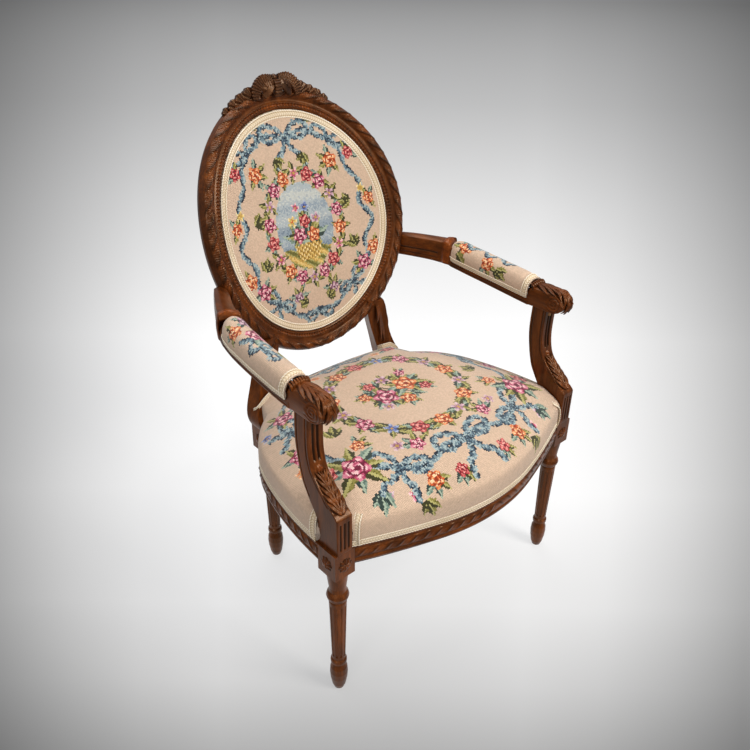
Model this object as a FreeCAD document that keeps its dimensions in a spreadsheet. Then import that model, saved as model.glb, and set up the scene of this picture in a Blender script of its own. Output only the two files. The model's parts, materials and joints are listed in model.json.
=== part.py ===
import FreeCAD, Part
import math
import os

import Sketcher
from FreeCAD import Placement, Rotation, Vector

# An oval-back open armchair. Millimetres, +Z up, the front faces -Y, and the origin is on the floor
# under the middle of the chair.

doc = FreeCAD.newDocument("fauteuil")

# Driving dimensions: name, value, what it measures
SIZES = [
    ("front_leg_x", 299.2, "front leg axis from the middle"),
    ("front_leg_y", -242.0, "front leg axis"),
    ("rear_leg_x", 182.0, "rear leg axis from the middle"),
    ("rear_leg_y", 129.0, "rear leg axis"),
    ("leg_height", 297.0, "floor to the underside of the square block"),
    ("foot_tip_radius", 9.5, "flat that stands on the floor"),
    ("foot_radius", 17.0, "widest part of the foot"),
    ("ankle_radius", 12.6, "bottom of the fluted shaft"),
    ("shaft_radius", 16.2, "top of the fluted shaft"),
    ("collar_radius", 20.5, "turned collar above the shaft"),
    ("flute_count", 10, "flutes round a leg"),
    ("flute_radius", 2.9, "half width of a flute"),
    ("block_top", 352.0, "top of the leg blocks and of the rails"),
    ("block_width", 43.0, "leg block, side to side"),
    ("front_block_depth", 47.0, "front leg block, front to back"),
    ("rear_block_depth", 52.0, "rear leg block, front to back"),
    ("block_offset", 2.0, "middle of a leg block behind the leg's axis"),
    ("flute_bottom", 88.0, "lower end of the flutes"),
    ("flute_top", 218.0, "upper end of the flutes"),
    ("rail_bottom", 313.0, "underside of the seat rails"),
    ("rail_thickness", 28.0, "seat rails, face to back"),
    ("seat_front_y", -336.0, "front of the front rail at its middle"),
    ("front_mid_radius", 420.0, "bow of the front rail at its middle"),
    ("front_mid_turn", 16.6, "degrees of that bow, each side"),
    ("front_end_radius", 1500.0, "bow of the front rail towards its ends"),
    ("front_end_turn", 7.3, "degrees of that bow"),
    ("seat_half_width", 320.4, "outer face of a side rail at its front end"),
    ("side_radius", 760.0, "bow of a side rail"),
    ("side_turn", 16.6, "degrees of that bow"),
    ("side_end_radius", 214.0, "tighter bow at the rear end"),
    ("side_end_turn", 40.0, "degrees of that bow"),
    ("seat_back_y", 173.0, "rear face of the back rail at its middle"),
    ("back_rail_radius", 1100.0, "bow of the back rail"),
    ("cushion_edge_z", 404.0, "height of the cushion's shoulder"),
    ("cushion_top_z", 455.0, "top of the cushion's crown"),
    ("cover_thickness", 2.0, "needlepoint cloth"),
    ("gimp_width", 12.0, "woven braid"),
    ("gimp_thickness", 2.2, "woven braid"),
    ("post_width", 32.4, "arm support, side to side"),
    ("medallion_y", 241.0, "centre of the oval"),
    ("medallion_z", 718.0, "centre of the oval"),
    ("medallion_lean", 16.6, "degrees that the oval leans back"),
    ("oval_half_width", 201.0, "upholstered oval"),
    ("oval_half_height", 225.0, "upholstered oval, up the slope"),
    ("oval_bow_radius", 542.0, "hollow of the back, seen from above"),
    ("ring_width", 40.0, "moulded ring round the oval"),
    ("ring_depth", 24.0, "ring behind the oval's plane"),
    ("ledge_width", 12.0, "ledge that the upholstery is nailed to"),
    ("back_crown", 15.0, "crown of the back pad"),
    ("dowel_radius", 4.0, "beech dowels"),
    ("dowel_length", 40.0, "beech dowels"),
    ("web_width", 50.0, "jute webbing"),
    ("web_thickness", 1.4, "jute webbing"),
    ("spring_radius", 30.0, "coil springs"),
    ("spring_wire", 1.7, "radius of the spring wire"),
    ("spring_turns", 4, "turns of a spring"),
    ("spring_height", 74.0, "spring under load"),
    ("spring_pitch", 112.0, "spring to spring"),
    ("seat_mid_y", -82.0, "middle of the springs"),
    ("brace_thickness", 24.0, "corner blocks"),
    ("screw_radius", 2.2, "wood screws"),
    ("screw_length", 34.0, "wood screws"),
    ("pad_half_width", 21.0, "arm pad where it meets the arm"),
    ("pad_height", 42.0, "arm pad above the arm"),
]

# The arm's line on the right: name, x, y, underside, top and half width of the wood
ARM_LINE = [
    ("root", 232.0, 184.0, 613.0, 662.0, 13.0),
    ("neck", 246.0, 154.0, 614.0, 664.0, 16.0),
    ("sweep", 266.0, 114.0, 613.0, 664.0, 18.0),
    ("ring", 282.0, 73.0, 610.0, 664.0, 20.0),
    ("tray_back", 279.5, 83.0, 611.0, 625.0, 19.5),
    ("tray_mid", 293.0, 11.0, 602.0, 617.0, 20.0),
    ("tray_low", 297.5, -67.0, 595.0, 610.0, 20.0),
    ("tray_front", 299.0, -155.0, 588.0, 603.0, 20.0),
    ("wrist", 299.0, -149.0, 588.0, 634.0, 19.0),
    ("hand", 298.5, -205.0, 587.0, 632.0, 20.0),
]
ARM_FIELDS = ("x", "y", "bottom", "top", "half")

# The rear stile's line on the right: name, x, y, z, width, depth and turn towards the sitter
STILE_LINE = [
    ("foot", 182.0, 134.0, 352.0, 43.0, 46.0, 0.0),
    ("seat", 171.0, 161.0, 402.0, 50.0, 32.0, 8.0),
    ("waist", 157.0, 169.0, 455.0, 43.0, 29.0, 15.0),
    ("head", 147.0, 169.0, 502.0, 46.0, 27.0, 17.0),
    ("tenon", 141.0, 165.0, 532.0, 36.0, 20.0, 17.0),
]
STILE_FIELDS = ("x", "y", "z", "width", "depth", "turn")

sheet = doc.addObject("Spreadsheet::Sheet", "Sizes")
rows = list(SIZES)
for station in ARM_LINE:
    for field, value in zip(ARM_FIELDS, station[1:]):
        rows.append((f"arm_{station[0]}_{field}", value, "arm line"))
for station in STILE_LINE:
    for field, value in zip(STILE_FIELDS, station[1:]):
        rows.append((f"stile_{station[0]}_{field}", value, "rear stile line"))
for row, (alias, value, meaning) in enumerate(rows, start=1):
    sheet.set(f"A{row}", meaning)
    sheet.set(f"B{row}", str(value))
    sheet.setAlias(f"B{row}", alias)
doc.recompute()

nodes = []


def size(name):
    return float(sheet.get(name))


def bind(item, **expressions):
    for path, expression in expressions.items():
        item.setExpression(path.replace("__", "."), expression)


def keep(item, label):
    item.Label = label
    nodes.append(item)
    return item


def kept_shape(label, shape):
    item = doc.addObject("Part::Feature", label)
    item.Shape = shape
    return keep(item, label)


def union(label, items):
    fused = doc.addObject("Part::MultiFuse", label)
    fused.Shapes = items
    return fused


def cut(label, base, tool):
    item = doc.addObject("Part::Cut", label)
    item.Base = base
    item.Tool = tool
    return item


def group(label, items):
    item = doc.addObject("Part::Compound", label)
    item.Links = items
    return item


def solid_loft(wires, ruled=False):
    shape = Part.makeLoft(wires, True, ruled)
    if shape.Volume < 0:
        shape.reverse()
    return shape


# Sketches

def origin_plane(body, role):
    return next(item for item in body.Origin.OriginFeatures if item.Role == role)


def sketch_on(body, name, role="XY_Plane", height=None):
    sketch = body.newObject("Sketcher::SketchObject", name)
    sketch.AttachmentSupport = [(origin_plane(body, role), "")]
    sketch.MapMode = "FlatFace"
    if height:
        sketch.setExpression("AttachmentOffset.Base.z", height)
    return sketch


def closed_profile(sketch, corners):
    """Straight sides through corners, each given as a pair of expressions."""
    count = len(corners)
    values = [[sheet_value(text) for text in corner] for corner in corners]
    for index in range(count):
        here = Vector(*values[index], 0)
        there = Vector(*values[(index + 1) % count], 0)
        sketch.addGeometry(Part.LineSegment(here, there), False)
    for index in range(count):
        sketch.addConstraint(Sketcher.Constraint("Coincident", index, 2, (index + 1) % count, 1))
    for index, corner in enumerate(corners):
        for axis, kind in enumerate(("DistanceX", "DistanceY")):
            number = sketch.addConstraint(
                Sketcher.Constraint(kind, -1, 1, index, 1, values[index][axis])
            )
            sketch.setExpression(f"Constraints[{number}]", corner[axis])


def sheet_value(text):
    """The number that an expression on the sheet stands for now."""
    probe = doc.addObject("App::FeaturePython", "Probe")
    probe.addProperty("App::PropertyFloat", "Value")
    probe.setExpression("Value", text)
    probe.recompute()
    value = probe.Value
    doc.removeObject(probe.Name)
    return value


def circle_at(sketch, across, radius):
    middle = sheet_value(across)
    sketch.addGeometry(Part.Circle(Vector(middle, 0, 0), Vector(0, 0, 1), sheet_value(radius)), False)
    sketch.addConstraint(Sketcher.Constraint("PointOnObject", 0, 3, -1))
    number = sketch.addConstraint(Sketcher.Constraint("DistanceX", -1, 1, 0, 3, middle))
    sketch.setExpression(f"Constraints[{number}]", across)
    number = sketch.addConstraint(Sketcher.Constraint("Radius", 0, sheet_value(radius)))
    sketch.setExpression(f"Constraints[{number}]", radius)


def centred_box(sketch, width, depth, middle_x="0", middle_y="0"):
    low_x = f"{middle_x} - {width} / 2"
    high_x = f"{middle_x} + {width} / 2"
    low_y = f"{middle_y} - {depth} / 2"
    high_y = f"{middle_y} + {depth} / 2"
    closed_profile(sketch, [(low_x, low_y), (high_x, low_y), (high_x, high_y), (low_x, high_y)])


# Legs: turned, fluted and squared at the top

LEG_PROFILE = [
    ("0", "0"),
    ("Sizes.foot_tip_radius", "0"),
    ("Sizes.foot_tip_radius + 3.5", "10"),
    ("Sizes.foot_radius - 1", "28"),
    ("Sizes.foot_radius", "42"),
    ("Sizes.foot_radius - 1", "55"),
    ("Sizes.ankle_radius - 0.6", "66"),
    ("Sizes.ankle_radius + 2.4", "69"),
    ("Sizes.ankle_radius + 2.8", "73"),
    ("Sizes.ankle_radius + 2.4", "77"),
    ("Sizes.ankle_radius", "80"),
    ("Sizes.shaft_radius", "226"),
    ("Sizes.shaft_radius - 0.8", "230"),
    ("Sizes.collar_radius - 1.5", "236"),
    ("Sizes.collar_radius", "242"),
    ("Sizes.collar_radius - 1.5", "248"),
    ("Sizes.shaft_radius - 0.6", "253"),
    ("Sizes.shaft_radius - 0.6", "262"),
    ("Sizes.collar_radius - 2", "286"),
    ("Sizes.collar_radius - 0.5", "Sizes.leg_height"),
    ("0", "Sizes.leg_height"),
]


def leg(name, x_expression, y_expression, depth):
    body = doc.addObject("PartDesign::Body", name)
    profile = sketch_on(body, name + "_profile", "XZ_Plane")
    closed_profile(profile, LEG_PROFILE)
    turned = body.newObject("PartDesign::Revolution", name + "_turned")
    turned.Profile = profile
    turned.ReferenceAxis = (profile, ["V_Axis"])
    turned.Angle = 360
    square = sketch_on(body, name + "_square", height="Sizes.leg_height")
    centred_box(square, "Sizes.block_width", depth, middle_y="Sizes.block_offset")
    block = body.newObject("PartDesign::Pad", name + "_block")
    block.Profile = square
    block.setExpression("Length", "Sizes.block_top - Sizes.leg_height")
    low = sketch_on(body, name + "_flute_low", height="Sizes.flute_bottom")
    circle_at(low, "Sizes.ankle_radius + 0.8", "Sizes.flute_radius * 0.8")
    high = sketch_on(body, name + "_flute_high", height="Sizes.flute_top")
    circle_at(high, "Sizes.shaft_radius + 0.8", "Sizes.flute_radius")
    flute = body.newObject("PartDesign::SubtractiveLoft", name + "_flute")
    flute.Profile = low
    flute.Sections = [high]
    flute.Ruled = True
    flutes = body.newObject("PartDesign::PolarPattern", name + "_flutes")
    flutes.Originals = [flute]
    flutes.Axis = (low, ["N_Axis"])
    flutes.Angle = 360
    flutes.setExpression("Occurrences", "Sizes.flute_count")
    body.Tip = flutes
    bind(body, Placement__Base__x=x_expression, Placement__Base__y=y_expression)
    return body


def stile(name, side):
    """The rear leg's upper part: a tapered post that leans back and turns in to meet the oval."""
    wires = []
    for station in STILE_LINE:
        x, y, z, width, depth, turn = (size(f"stile_{station[0]}_{field}") for field in STILE_FIELDS)
        half_w, half_d = width / 2, depth / 2
        corners = [(-half_w, -half_d), (half_w, -half_d), (half_w, half_d), (-half_w, half_d)]
        wire = Part.makePolygon([Vector(a, b, 0) for a, b in corners + corners[:1]])
        wire.Placement = Placement(Vector(side * x, y, z), Rotation(Vector(0, 0, 1), -side * turn))
        wires.append(wire)
    item = doc.addObject("Part::Feature", name)
    item.Shape = solid_loft(wires)
    return item


front_legs = {}
rear_legs = {}
for side, word in ((-1, "left"), (1, "right")):
    sign = "-" if side < 0 else ""
    front_legs[side] = leg(
        f"front_{word}_turning", f"{sign}Sizes.front_leg_x", "Sizes.front_leg_y", "Sizes.front_block_depth"
    )
    turning = leg(
        f"rear_{word}_turning", f"{sign}Sizes.rear_leg_x", "Sizes.rear_leg_y", "Sizes.rear_block_depth"
    )
    rear_legs[side] = union(f"rear_{word}_blank", [turning, stile(f"rear_{word}_stile", side)])
doc.recompute()


# Seat rails, bowed in plan

def bend(start, heading, radius, turn):
    """A left-hand arc: its edge, its end and its heading there. Angles in degrees."""
    across = Vector(-math.sin(math.radians(heading)), math.cos(math.radians(heading)), 0)
    centre = start + across * radius

    def point(angle):
        spoke = heading + angle
        return centre + Vector(math.sin(math.radians(spoke)), -math.cos(math.radians(spoke)), 0) * radius

    end = point(turn)
    return Part.Arc(start, point(turn / 2), end).toShape(), end, heading + turn


def flipped(edge):
    return edge.mirror(Vector(0, 0, 0), Vector(1, 0, 0))


def front_bow(inset):
    """Right half of the front rail's face, moved in by inset: edges and end point."""
    start = Vector(0, size("seat_front_y") + inset, 0)
    middle, joint, heading = bend(start, 0, size("front_mid_radius") - inset, size("front_mid_turn"))
    outer, end, heading = bend(joint, heading, size("front_end_radius") - inset, size("front_end_turn"))
    return [middle, outer], end


def side_bow(inset):
    """Right side rail's face, moved in by inset: edges, first and last points."""
    start = Vector(size("seat_half_width") - inset, size("front_leg_y") + 10, 0)
    first, joint, heading = bend(start, 90, size("side_radius") - inset, size("side_turn"))
    radius = size("side_end_radius") - inset
    second, end, heading = bend(joint, heading, radius, size("side_end_turn"))
    return [first, second], start, end


def back_bow(inset):
    """Back rail's face from right to left, moved in by inset."""
    radius = size("back_rail_radius") - inset
    middle = Vector(0, size("seat_back_y") - inset, 0)
    half = size("rear_leg_x")
    drop = radius - math.sqrt(radius**2 - half**2)
    right = middle + Vector(half, -drop, 0)
    left = middle + Vector(-half, -drop, 0)
    return Part.Arc(right, middle, left).toShape(), right, left


def line(here, there):
    return Part.LineSegment(here, there).toShape()


def rail_body(name, edges):
    body = doc.addObject("PartDesign::Body", name)
    sketch = sketch_on(body, name + "_plan", height="Sizes.rail_bottom")
    for edge in edges:
        curve = edge.Curve
        if curve.TypeId == "Part::GeomCircle":
            curve = Part.ArcOfCircle(edge.Curve, edge.FirstParameter, edge.LastParameter)
        else:
            curve = Part.LineSegment(edge.valueAt(edge.FirstParameter), edge.valueAt(edge.LastParameter))
        sketch.addGeometry(curve, False)
    pad = body.newObject("PartDesign::Pad", name + "_pad")
    pad.Profile = sketch
    pad.setExpression("Length", "Sizes.block_top - Sizes.rail_bottom")
    return body


thickness = size("rail_thickness")
outer_front, front_end = front_bow(0)
inner_front, front_inner_end = front_bow(thickness)
front_edges = [edge for half in (outer_front, inner_front) for edge in half]
front_edges += [flipped(edge) for edge in front_edges]
front_edges.append(line(front_end, front_inner_end))
front_edges.append(flipped(front_edges[-1]))
front_body = rail_body("front_rail_blank", front_edges)

outer_side, side_start, side_end = side_bow(0)
inner_side, side_inner_start, side_inner_end = side_bow(thickness)
side_edges = outer_side + inner_side
side_edges += [line(side_start, side_inner_start), line(side_end, side_inner_end)]
side_bodies = {
    1: rail_body("right_rail_blank", side_edges),
    -1: rail_body("left_rail_blank", [flipped(edge) for edge in side_edges]),
}

outer_back, back_right, back_left = back_bow(0)
inner_back, back_inner_right, back_inner_left = back_bow(thickness)
back_edges = [outer_back, inner_back, line(back_right, back_inner_right), line(back_left, back_inner_left)]
back_body = rail_body("back_rail_blank", back_edges)
doc.recompute()

all_legs = union("all_legs", [front_legs[-1], front_legs[1], rear_legs[-1], rear_legs[1]])


# Dowels

def dowel(name, middle, direction, length=None):
    item = doc.addObject("Part::Cylinder", name)
    bind(item, Radius="Sizes.dowel_radius")
    if length:
        item.Height = length
    else:
        bind(item, Height="Sizes.dowel_length")
    doc.recompute([item])
    rotation = Rotation(Vector(0, 0, 1), direction)
    start = middle - direction.normalize() * (float(item.Height) / 2)
    item.Placement = Placement(start, rotation)
    return item


half_block = size("block_width") / 2
front_block_back = size("front_leg_y") + size("block_offset") + size("front_block_depth") / 2
rear_block_front = size("rear_leg_y") + size("block_offset") - size("rear_block_depth") / 2
RAIL_DOWEL_LEVELS = (324.0, 341.0)
rail_dowel_items = []
for side in (-1, 1):
    joints = [
        (Vector(side * (size("front_leg_x") - half_block), size("front_leg_y") - 8, 0), Vector(1, 0, 0)),
        (Vector(side * (size("seat_half_width") - 14), front_block_back, 0), Vector(0, 1, 0)),
        (Vector(side * (size("rear_leg_x") + 12), rear_block_front, 0), Vector(-side * 0.6, 0.8, 0)),
        (Vector(side * (size("rear_leg_x") - half_block), size("rear_leg_y") + 16, 0), Vector(1, 0, 0)),
    ]
    for place, direction in joints:
        for level in RAIL_DOWEL_LEVELS:
            spot = Vector(place.x, place.y, level)
            name = f"rail_dowel_{len(rail_dowel_items) + 1}"
            rail_dowel_items.append(dowel(name, spot, Vector(direction)))
rail_dowels = keep(group("rail_dowels", rail_dowel_items), "rail_dowels")
doc.recompute()


# Plan of the whole seat, used by everything that fills it

def seat_plan(inset, z):
    """Closed outline along the rails' faces, moved in by inset, at height z."""
    front, front_end = front_bow(inset)
    sides, side_start, side_end = side_bow(inset)
    back, back_right, back_left = back_bow(inset)
    right = front + sides + [line(front_end, side_start)]
    corner = Vector(side_end.x - 6, (side_end.y + back_right.y) / 2 + 4, 0)
    right.append(Part.Arc(side_end, corner, back_right).toShape())
    edges = right + [flipped(edge) for edge in right] + [back]
    wire = Part.Wire(Part.__sortEdges__(edges))
    wire.translate(Vector(0, 0, z))
    return wire


def seat_slab(inset, low, high):
    return Part.Face(seat_plan(inset, low)).extrude(Vector(0, 0, high - low))


# Corner blocks and their screws

BRACE_SPOTS = [
    (Vector(262, -207, 0), -45.0),
    (Vector(186, 77, 0), 42.0),
]
BRACE_HALF = 24.0
BRACE_BLANK = 260.0
SCREW_OFFSET = 26.0
SCREW_HEAD = 3.0
brace_bottom = size("rail_bottom") + 6
brace_middle = brace_bottom + size("brace_thickness") / 2
inside_rails = doc.addObject("Part::Feature", "inside_rails")
inside_rails.Shape = seat_slab(thickness, brace_bottom, brace_bottom + size("brace_thickness"))
braces = []
screws = []
for side in (-1, 1):
    for spot, angle in BRACE_SPOTS:
        number = len(braces) + 1
        blank = doc.addObject("Part::Box", f"brace_blank_{number}")
        blank.Length = 2 * BRACE_HALF
        blank.Width = BRACE_BLANK
        bind(blank, Height="Sizes.brace_thickness")
        turn = Rotation(Vector(0, 0, 1), side * angle)
        middle = Vector(side * spot.x, spot.y, brace_bottom)
        blank.Placement = Placement(middle + turn.multVec(Vector(-BRACE_HALF, -BRACE_BLANK / 2, 0)), turn)
        filled = doc.addObject("Part::Common", f"brace_filled_{number}")
        filled.Base = inside_rails
        filled.Tool = blank
        braces.append(cut(f"brace_{number}", filled, all_legs))
        along = turn.multVec(Vector(0, 1, 0))
        outward = turn.multVec(Vector(side, 0, 0))
        for offset in (-SCREW_OFFSET, SCREW_OFFSET):
            name = f"screw_{len(screws) + 1}"
            shank = doc.addObject("Part::Cylinder", name + "_shank")
            bind(shank, Radius="Sizes.screw_radius", Height="Sizes.screw_length")
            top = doc.addObject("Part::Cone", name + "_head")
            top.Height = SCREW_HEAD
            bind(top, Radius1="Sizes.screw_radius * 2", Radius2="Sizes.screw_radius")
            head = Vector(middle.x, middle.y, brace_middle) + along * offset - outward * BRACE_HALF
            shank.Placement = Placement(head, Rotation(Vector(0, 0, 1), outward))
            top.Placement = shank.Placement
            screws.append(union(name, [shank, top]))
corner_screws = keep(group("corner_screws", screws), "corner_screws")
keep(cut("corner_blocks", group("brace_group", braces), corner_screws), "corner_blocks")


# Arm supports: a square foot, a leaf-covered slope back and an upright, sawn from one side outline

post_front = size("front_leg_y") + size("block_offset") - size("front_block_depth") / 2
SUPPORT_FOOT_DEPTH = 52.0
SUPPORT_FOOT_TOP = 423.0
SUPPORT_TOP = 600.0
post_back = post_front + SUPPORT_FOOT_DEPTH
SUPPORT_OUTLINE = [
    ("line", (post_front, 352.0), (post_front, SUPPORT_FOOT_TOP)),
    ("arc", (post_front, SUPPORT_FOOT_TOP), (post_front + 5, 430.0), (post_front + 14, 437.0)),
    ("line", (post_front + 14, 437.0), (post_front + 52, 474.0)),
    ("arc", (post_front + 52, 474.0), (post_front + 67, 500.0), (post_front + 72, 540.0)),
    ("line", (post_front + 72, 540.0), (post_front + 70, SUPPORT_TOP)),
    ("line", (post_front + 70, SUPPORT_TOP), (post_back + 53, SUPPORT_TOP)),
    ("arc", (post_back + 53, SUPPORT_TOP), (post_back + 55, 550.0), (post_back + 50, 505.0)),
    ("arc", (post_back + 50, 505.0), (post_back + 38, 458.0), (post_back + 19, 425.0)),
    ("arc", (post_back + 19, 425.0), (post_back + 5, 410.0), (post_back, 392.0)),
    ("line", (post_back, 392.0), (post_back, 352.0)),
    ("line", (post_back, 352.0), (post_front, 352.0)),
]


def arm_support(name, side):
    body = doc.addObject("PartDesign::Body", name)
    sketch = sketch_on(body, name + "_outline", "YZ_Plane")
    for kind, *points in SUPPORT_OUTLINE:
        corners = [Vector(y, z, 0) for y, z in points]
        curve = Part.LineSegment(*corners) if kind == "line" else Part.Arc(*corners)
        sketch.addGeometry(curve, False)
    pad = body.newObject("PartDesign::Pad", name + "_board")
    pad.Profile = sketch
    pad.SideType = "Symmetric"
    bind(pad, Length="Sizes.post_width")
    bind(body, Placement__Base__x=f"{side} * Sizes.front_leg_x")
    return body


# Arms

def arm_station(name):
    return [size(f"arm_{name}_{field}") for field in ARM_FIELDS]


def across_wire(side, x, y, heading, corners):
    """A wire in the upright plane square to the arm's line; corners are across and up."""
    turn = Rotation(Vector(0, 0, 1), heading)
    points = []
    for across, up in corners:
        spot = Vector(x, y, 0) + turn.multVec(Vector(across, 0, 0))
        points.append(Vector(side * spot.x, spot.y, up))
    return points


def arm_heading(names, index):
    """Degrees that the arm's line turns from straight ahead at a station."""
    before = arm_station(names[max(index - 1, 0)])
    after = arm_station(names[min(index + 1, len(names) - 1)])
    return math.degrees(math.atan2(after[0] - before[0], before[1] - after[1]))


def arm_loft(side, names, softness):
    wires = []
    for index, name in enumerate(names):
        x, y, bottom, top, half = arm_station(name)
        corners = [
            (-half, bottom + softness), (-half + softness, bottom),
            (half - softness, bottom), (half, bottom + softness),
            (half, top - softness), (half - softness, top),
            (-half + softness, top), (-half, top - softness),
        ]
        points = across_wire(side, x, y, arm_heading(names, index), corners)
        wires.append(Part.makePolygon(points + points[:1]))
    return solid_loft(wires)


HAND_RADIUS = 22.0
HAND_REACH = 4.0
REAR_SOFTNESS = 4.0
TRAY_SOFTNESS = 3.0
REAR_STATIONS = ["root", "neck", "sweep", "ring"]
TRAY_STATIONS = ["tray_back", "tray_mid", "tray_low", "tray_front"]


def arm_wood(name, side):
    rear = doc.addObject("Part::Feature", name + "_rear")
    rear.Shape = arm_loft(side, REAR_STATIONS, REAR_SOFTNESS)
    tray = doc.addObject("Part::Feature", name + "_tray")
    tray.Shape = arm_loft(side, TRAY_STATIONS, TRAY_SOFTNESS)
    hand = doc.addObject("Part::Feature", name + "_hand")
    hand.Shape = arm_loft(side, ["wrist", "hand"], REAR_SOFTNESS)
    x, y, bottom, _, half = arm_station("hand")
    scroll = doc.addObject("Part::Cylinder", name + "_scroll")
    scroll.Radius = HAND_RADIUS
    bind(scroll, Height="2 * Sizes.arm_hand_half")
    middle = Vector(side * x - half, y - HAND_REACH, bottom + HAND_RADIUS + 0.5)
    scroll.Placement = Placement(middle, Rotation(Vector(0, 0, 1), Vector(1, 0, 0)))
    return union(name, [rear, tray, hand, scroll])


# The oval back. Its own axes are u to the side, v up the slope and w towards the sitter.

lean = size("medallion_lean")
oval_place = Placement(
    Vector(0, size("medallion_y"), size("medallion_z")), Rotation(Vector(1, 0, 0), 90 - lean)
)
half_u = size("oval_half_width")
half_v = size("oval_half_height")
bow_radius = size("oval_bow_radius")
RING_PROFILE = [
    (-12, -20), (-12, -6), (0, -6), (0, 1), (4, 5), (9, 6.5), (13, 5.5), (15, 2.5), (22, 3),
    (25, 8), (31, 9), (37, 6), (40, 0), (40, -14), (34, -24), (0, -24), (0, -20),
]


def bow_height(u):
    """How far the hollow back comes forward at u."""
    return bow_radius - math.sqrt(bow_radius**2 - u**2)


def ring_wire(angle):
    """The ring's section at an angle round the oval."""
    cosine, sine = math.cos(math.radians(angle)), math.sin(math.radians(angle))
    u, v = half_u * cosine, half_v * sine
    slope = u / math.sqrt(bow_radius**2 - u**2)
    along_u = Vector(1, 0, slope).normalize()
    normal = Vector(-slope, 0, 1).normalize()
    outward_u, outward_v = half_v * cosine, half_u * sine
    length = math.hypot(outward_u, outward_v)
    outward = along_u * (outward_u / length) + Vector(0, outward_v / length, 0)
    base = Vector(u, v, bow_height(u))
    points = [oval_place.multVec(base + outward * r + normal * n) for r, n in RING_PROFILE]
    return Part.makePolygon(points + points[:1])


def ring_piece(label, start, end, steps=8):
    item = doc.addObject("Part::Feature", label)
    wires = [ring_wire(start + (end - start) * step / steps) for step in range(steps + 1)]
    item.Shape = solid_loft(wires)
    return item


RING_PIECES = {
    "back_top_rail": (48, 132),
    "back_left_upright": (132, 222),
    "back_bottom_rail": (222, 318),
    "back_right_upright": (318, 408),
}
ring_blanks = {label: ring_piece(label + "_blank", *span) for label, span in RING_PIECES.items()}
doc.recompute()


def oval_prism(inset, low=-60.0, high=90.0):
    """A straight block of the oval's outline, in the oval's own axes."""
    wide, tall = half_u - inset, half_v - inset
    if tall > wide:
        ellipse = Part.Ellipse(Vector(0, tall, low), Vector(wide, 0, low), Vector(0, 0, low))
    else:
        ellipse = Part.Ellipse(Vector(wide, 0, low), Vector(0, tall, low), Vector(0, 0, low))
    return Part.Face(Part.Wire(ellipse.toShape())).extrude(Vector(0, 0, high - low))


BLANK_REACH = 300.0


def bowed_slab(low, high):
    """Everything between two depths of the hollow back."""
    base = Vector(0, -BLANK_REACH, bow_radius)
    outer = Part.makeCylinder(bow_radius - low, 2 * BLANK_REACH, base, Vector(0, 1, 0))
    return outer.cut(Part.makeCylinder(bow_radius - high, 2 * BLANK_REACH, base, Vector(0, 1, 0)))


CROWN_STATIONS = (-1.0, -0.8, -0.55, -0.28, 0.0, 0.28, 0.55, 0.8, 1.0)
CROWN_POWER = 2.6
BLOCK_REAR = -50.0


def crown_block(crown):
    """A block whose front swells by crown over the hollow back and whose rear lies behind it."""
    reach = half_u + 2
    edge = bow_height(reach)
    wires = []
    for share in CROWN_STATIONS:
        v = share * (half_v + 4)
        top = crown * (1 - abs(share) ** CROWN_POWER)
        front = Part.Arc(Vector(-reach, v, edge), Vector(0, v, top), Vector(reach, v, edge)).toShape()
        corners = [Vector(reach, v, edge), Vector(reach, v, BLOCK_REAR), Vector(-reach, v, BLOCK_REAR)]
        sides = [line(corners[0], corners[1]), line(corners[1], corners[2])]
        sides.append(line(corners[2], Vector(-reach, v, edge)))
        wires.append(Part.Wire([front] + sides))
    return solid_loft(wires)


def oval_shape(shape):
    placed = shape.copy()
    placed.Placement = oval_place
    return placed


cover = size("cover_thickness")
crown = size("back_crown")
pad_front = crown_block(crown)
pad_inner = crown_block(crown - cover)
pad_inner.translate(Vector(0, 0, -cover * 0.5))
LEDGE_DEPTH = -6.0
HESSIAN_THICKNESS = 1.2
CLEARANCE = 0.3
web_top = LEDGE_DEPTH + 2 * size("web_thickness")
hessian_top = web_top + HESSIAN_THICKNESS
front_part = bowed_slab(hessian_top, 60)
oval_inside = oval_prism(CLEARANCE)
skin = oval_inside.common(pad_front).cut(pad_inner).common(front_part)
kept_shape("back_cover", oval_shape(skin))
filling = oval_inside.common(pad_inner).common(front_part)
kept_shape("back_stuffing", oval_shape(filling))
kept_shape("back_hessian", oval_shape(oval_inside.common(bowed_slab(web_top, hessian_top))))
REAR_CLOTH = (-21.6, -20.0)
rear_sheet = oval_prism(4).common(bowed_slab(*REAR_CLOTH))
kept_shape("outside_back_cover", oval_shape(rear_sheet))


def oval_braid(outer_inset, low, high):
    band = oval_prism(outer_inset).cut(oval_prism(outer_inset + size("gimp_width")))
    return band.common(bowed_slab(low, high))


BRAID_DEPTHS = (-3.0, 4.4)
REAR_BRAID_DEPTHS = (-26.2, -24.0)
braid = oval_braid(CLEARANCE, *BRAID_DEPTHS).cut(pad_front)
kept_shape("back_gimp", oval_shape(braid))
kept_shape("outside_back_gimp", oval_shape(oval_braid(-1.0, *REAR_BRAID_DEPTHS)))

WEB_SPOTS = (-105.0, -35.0, 35.0, 105.0)
WEB_STRETCH = 1.15
straps = []
half_web = size("web_width") / 2
for spot in WEB_SPOTS:
    low, deep = -BLANK_REACH, 2 * BLANK_REACH
    upright = Part.makeBox(half_web * 2, deep, deep, Vector(spot - half_web, low, low))
    level = Part.makeBox(deep, half_web * 2, deep, Vector(low, spot * WEB_STRETCH - half_web, low))
    thick = size("web_thickness")
    straps.append(upright.common(bowed_slab(LEDGE_DEPTH, LEDGE_DEPTH + thick)).common(oval_inside))
    straps.append(level.common(bowed_slab(LEDGE_DEPTH + thick, web_top)).common(oval_inside))
kept_shape("back_webbing", oval_shape(Part.makeCompound(straps)))
doc.recompute()


# Crest: a carved ribbon bow with a knot, two loops each side and two tails, in the oval's own axes

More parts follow.
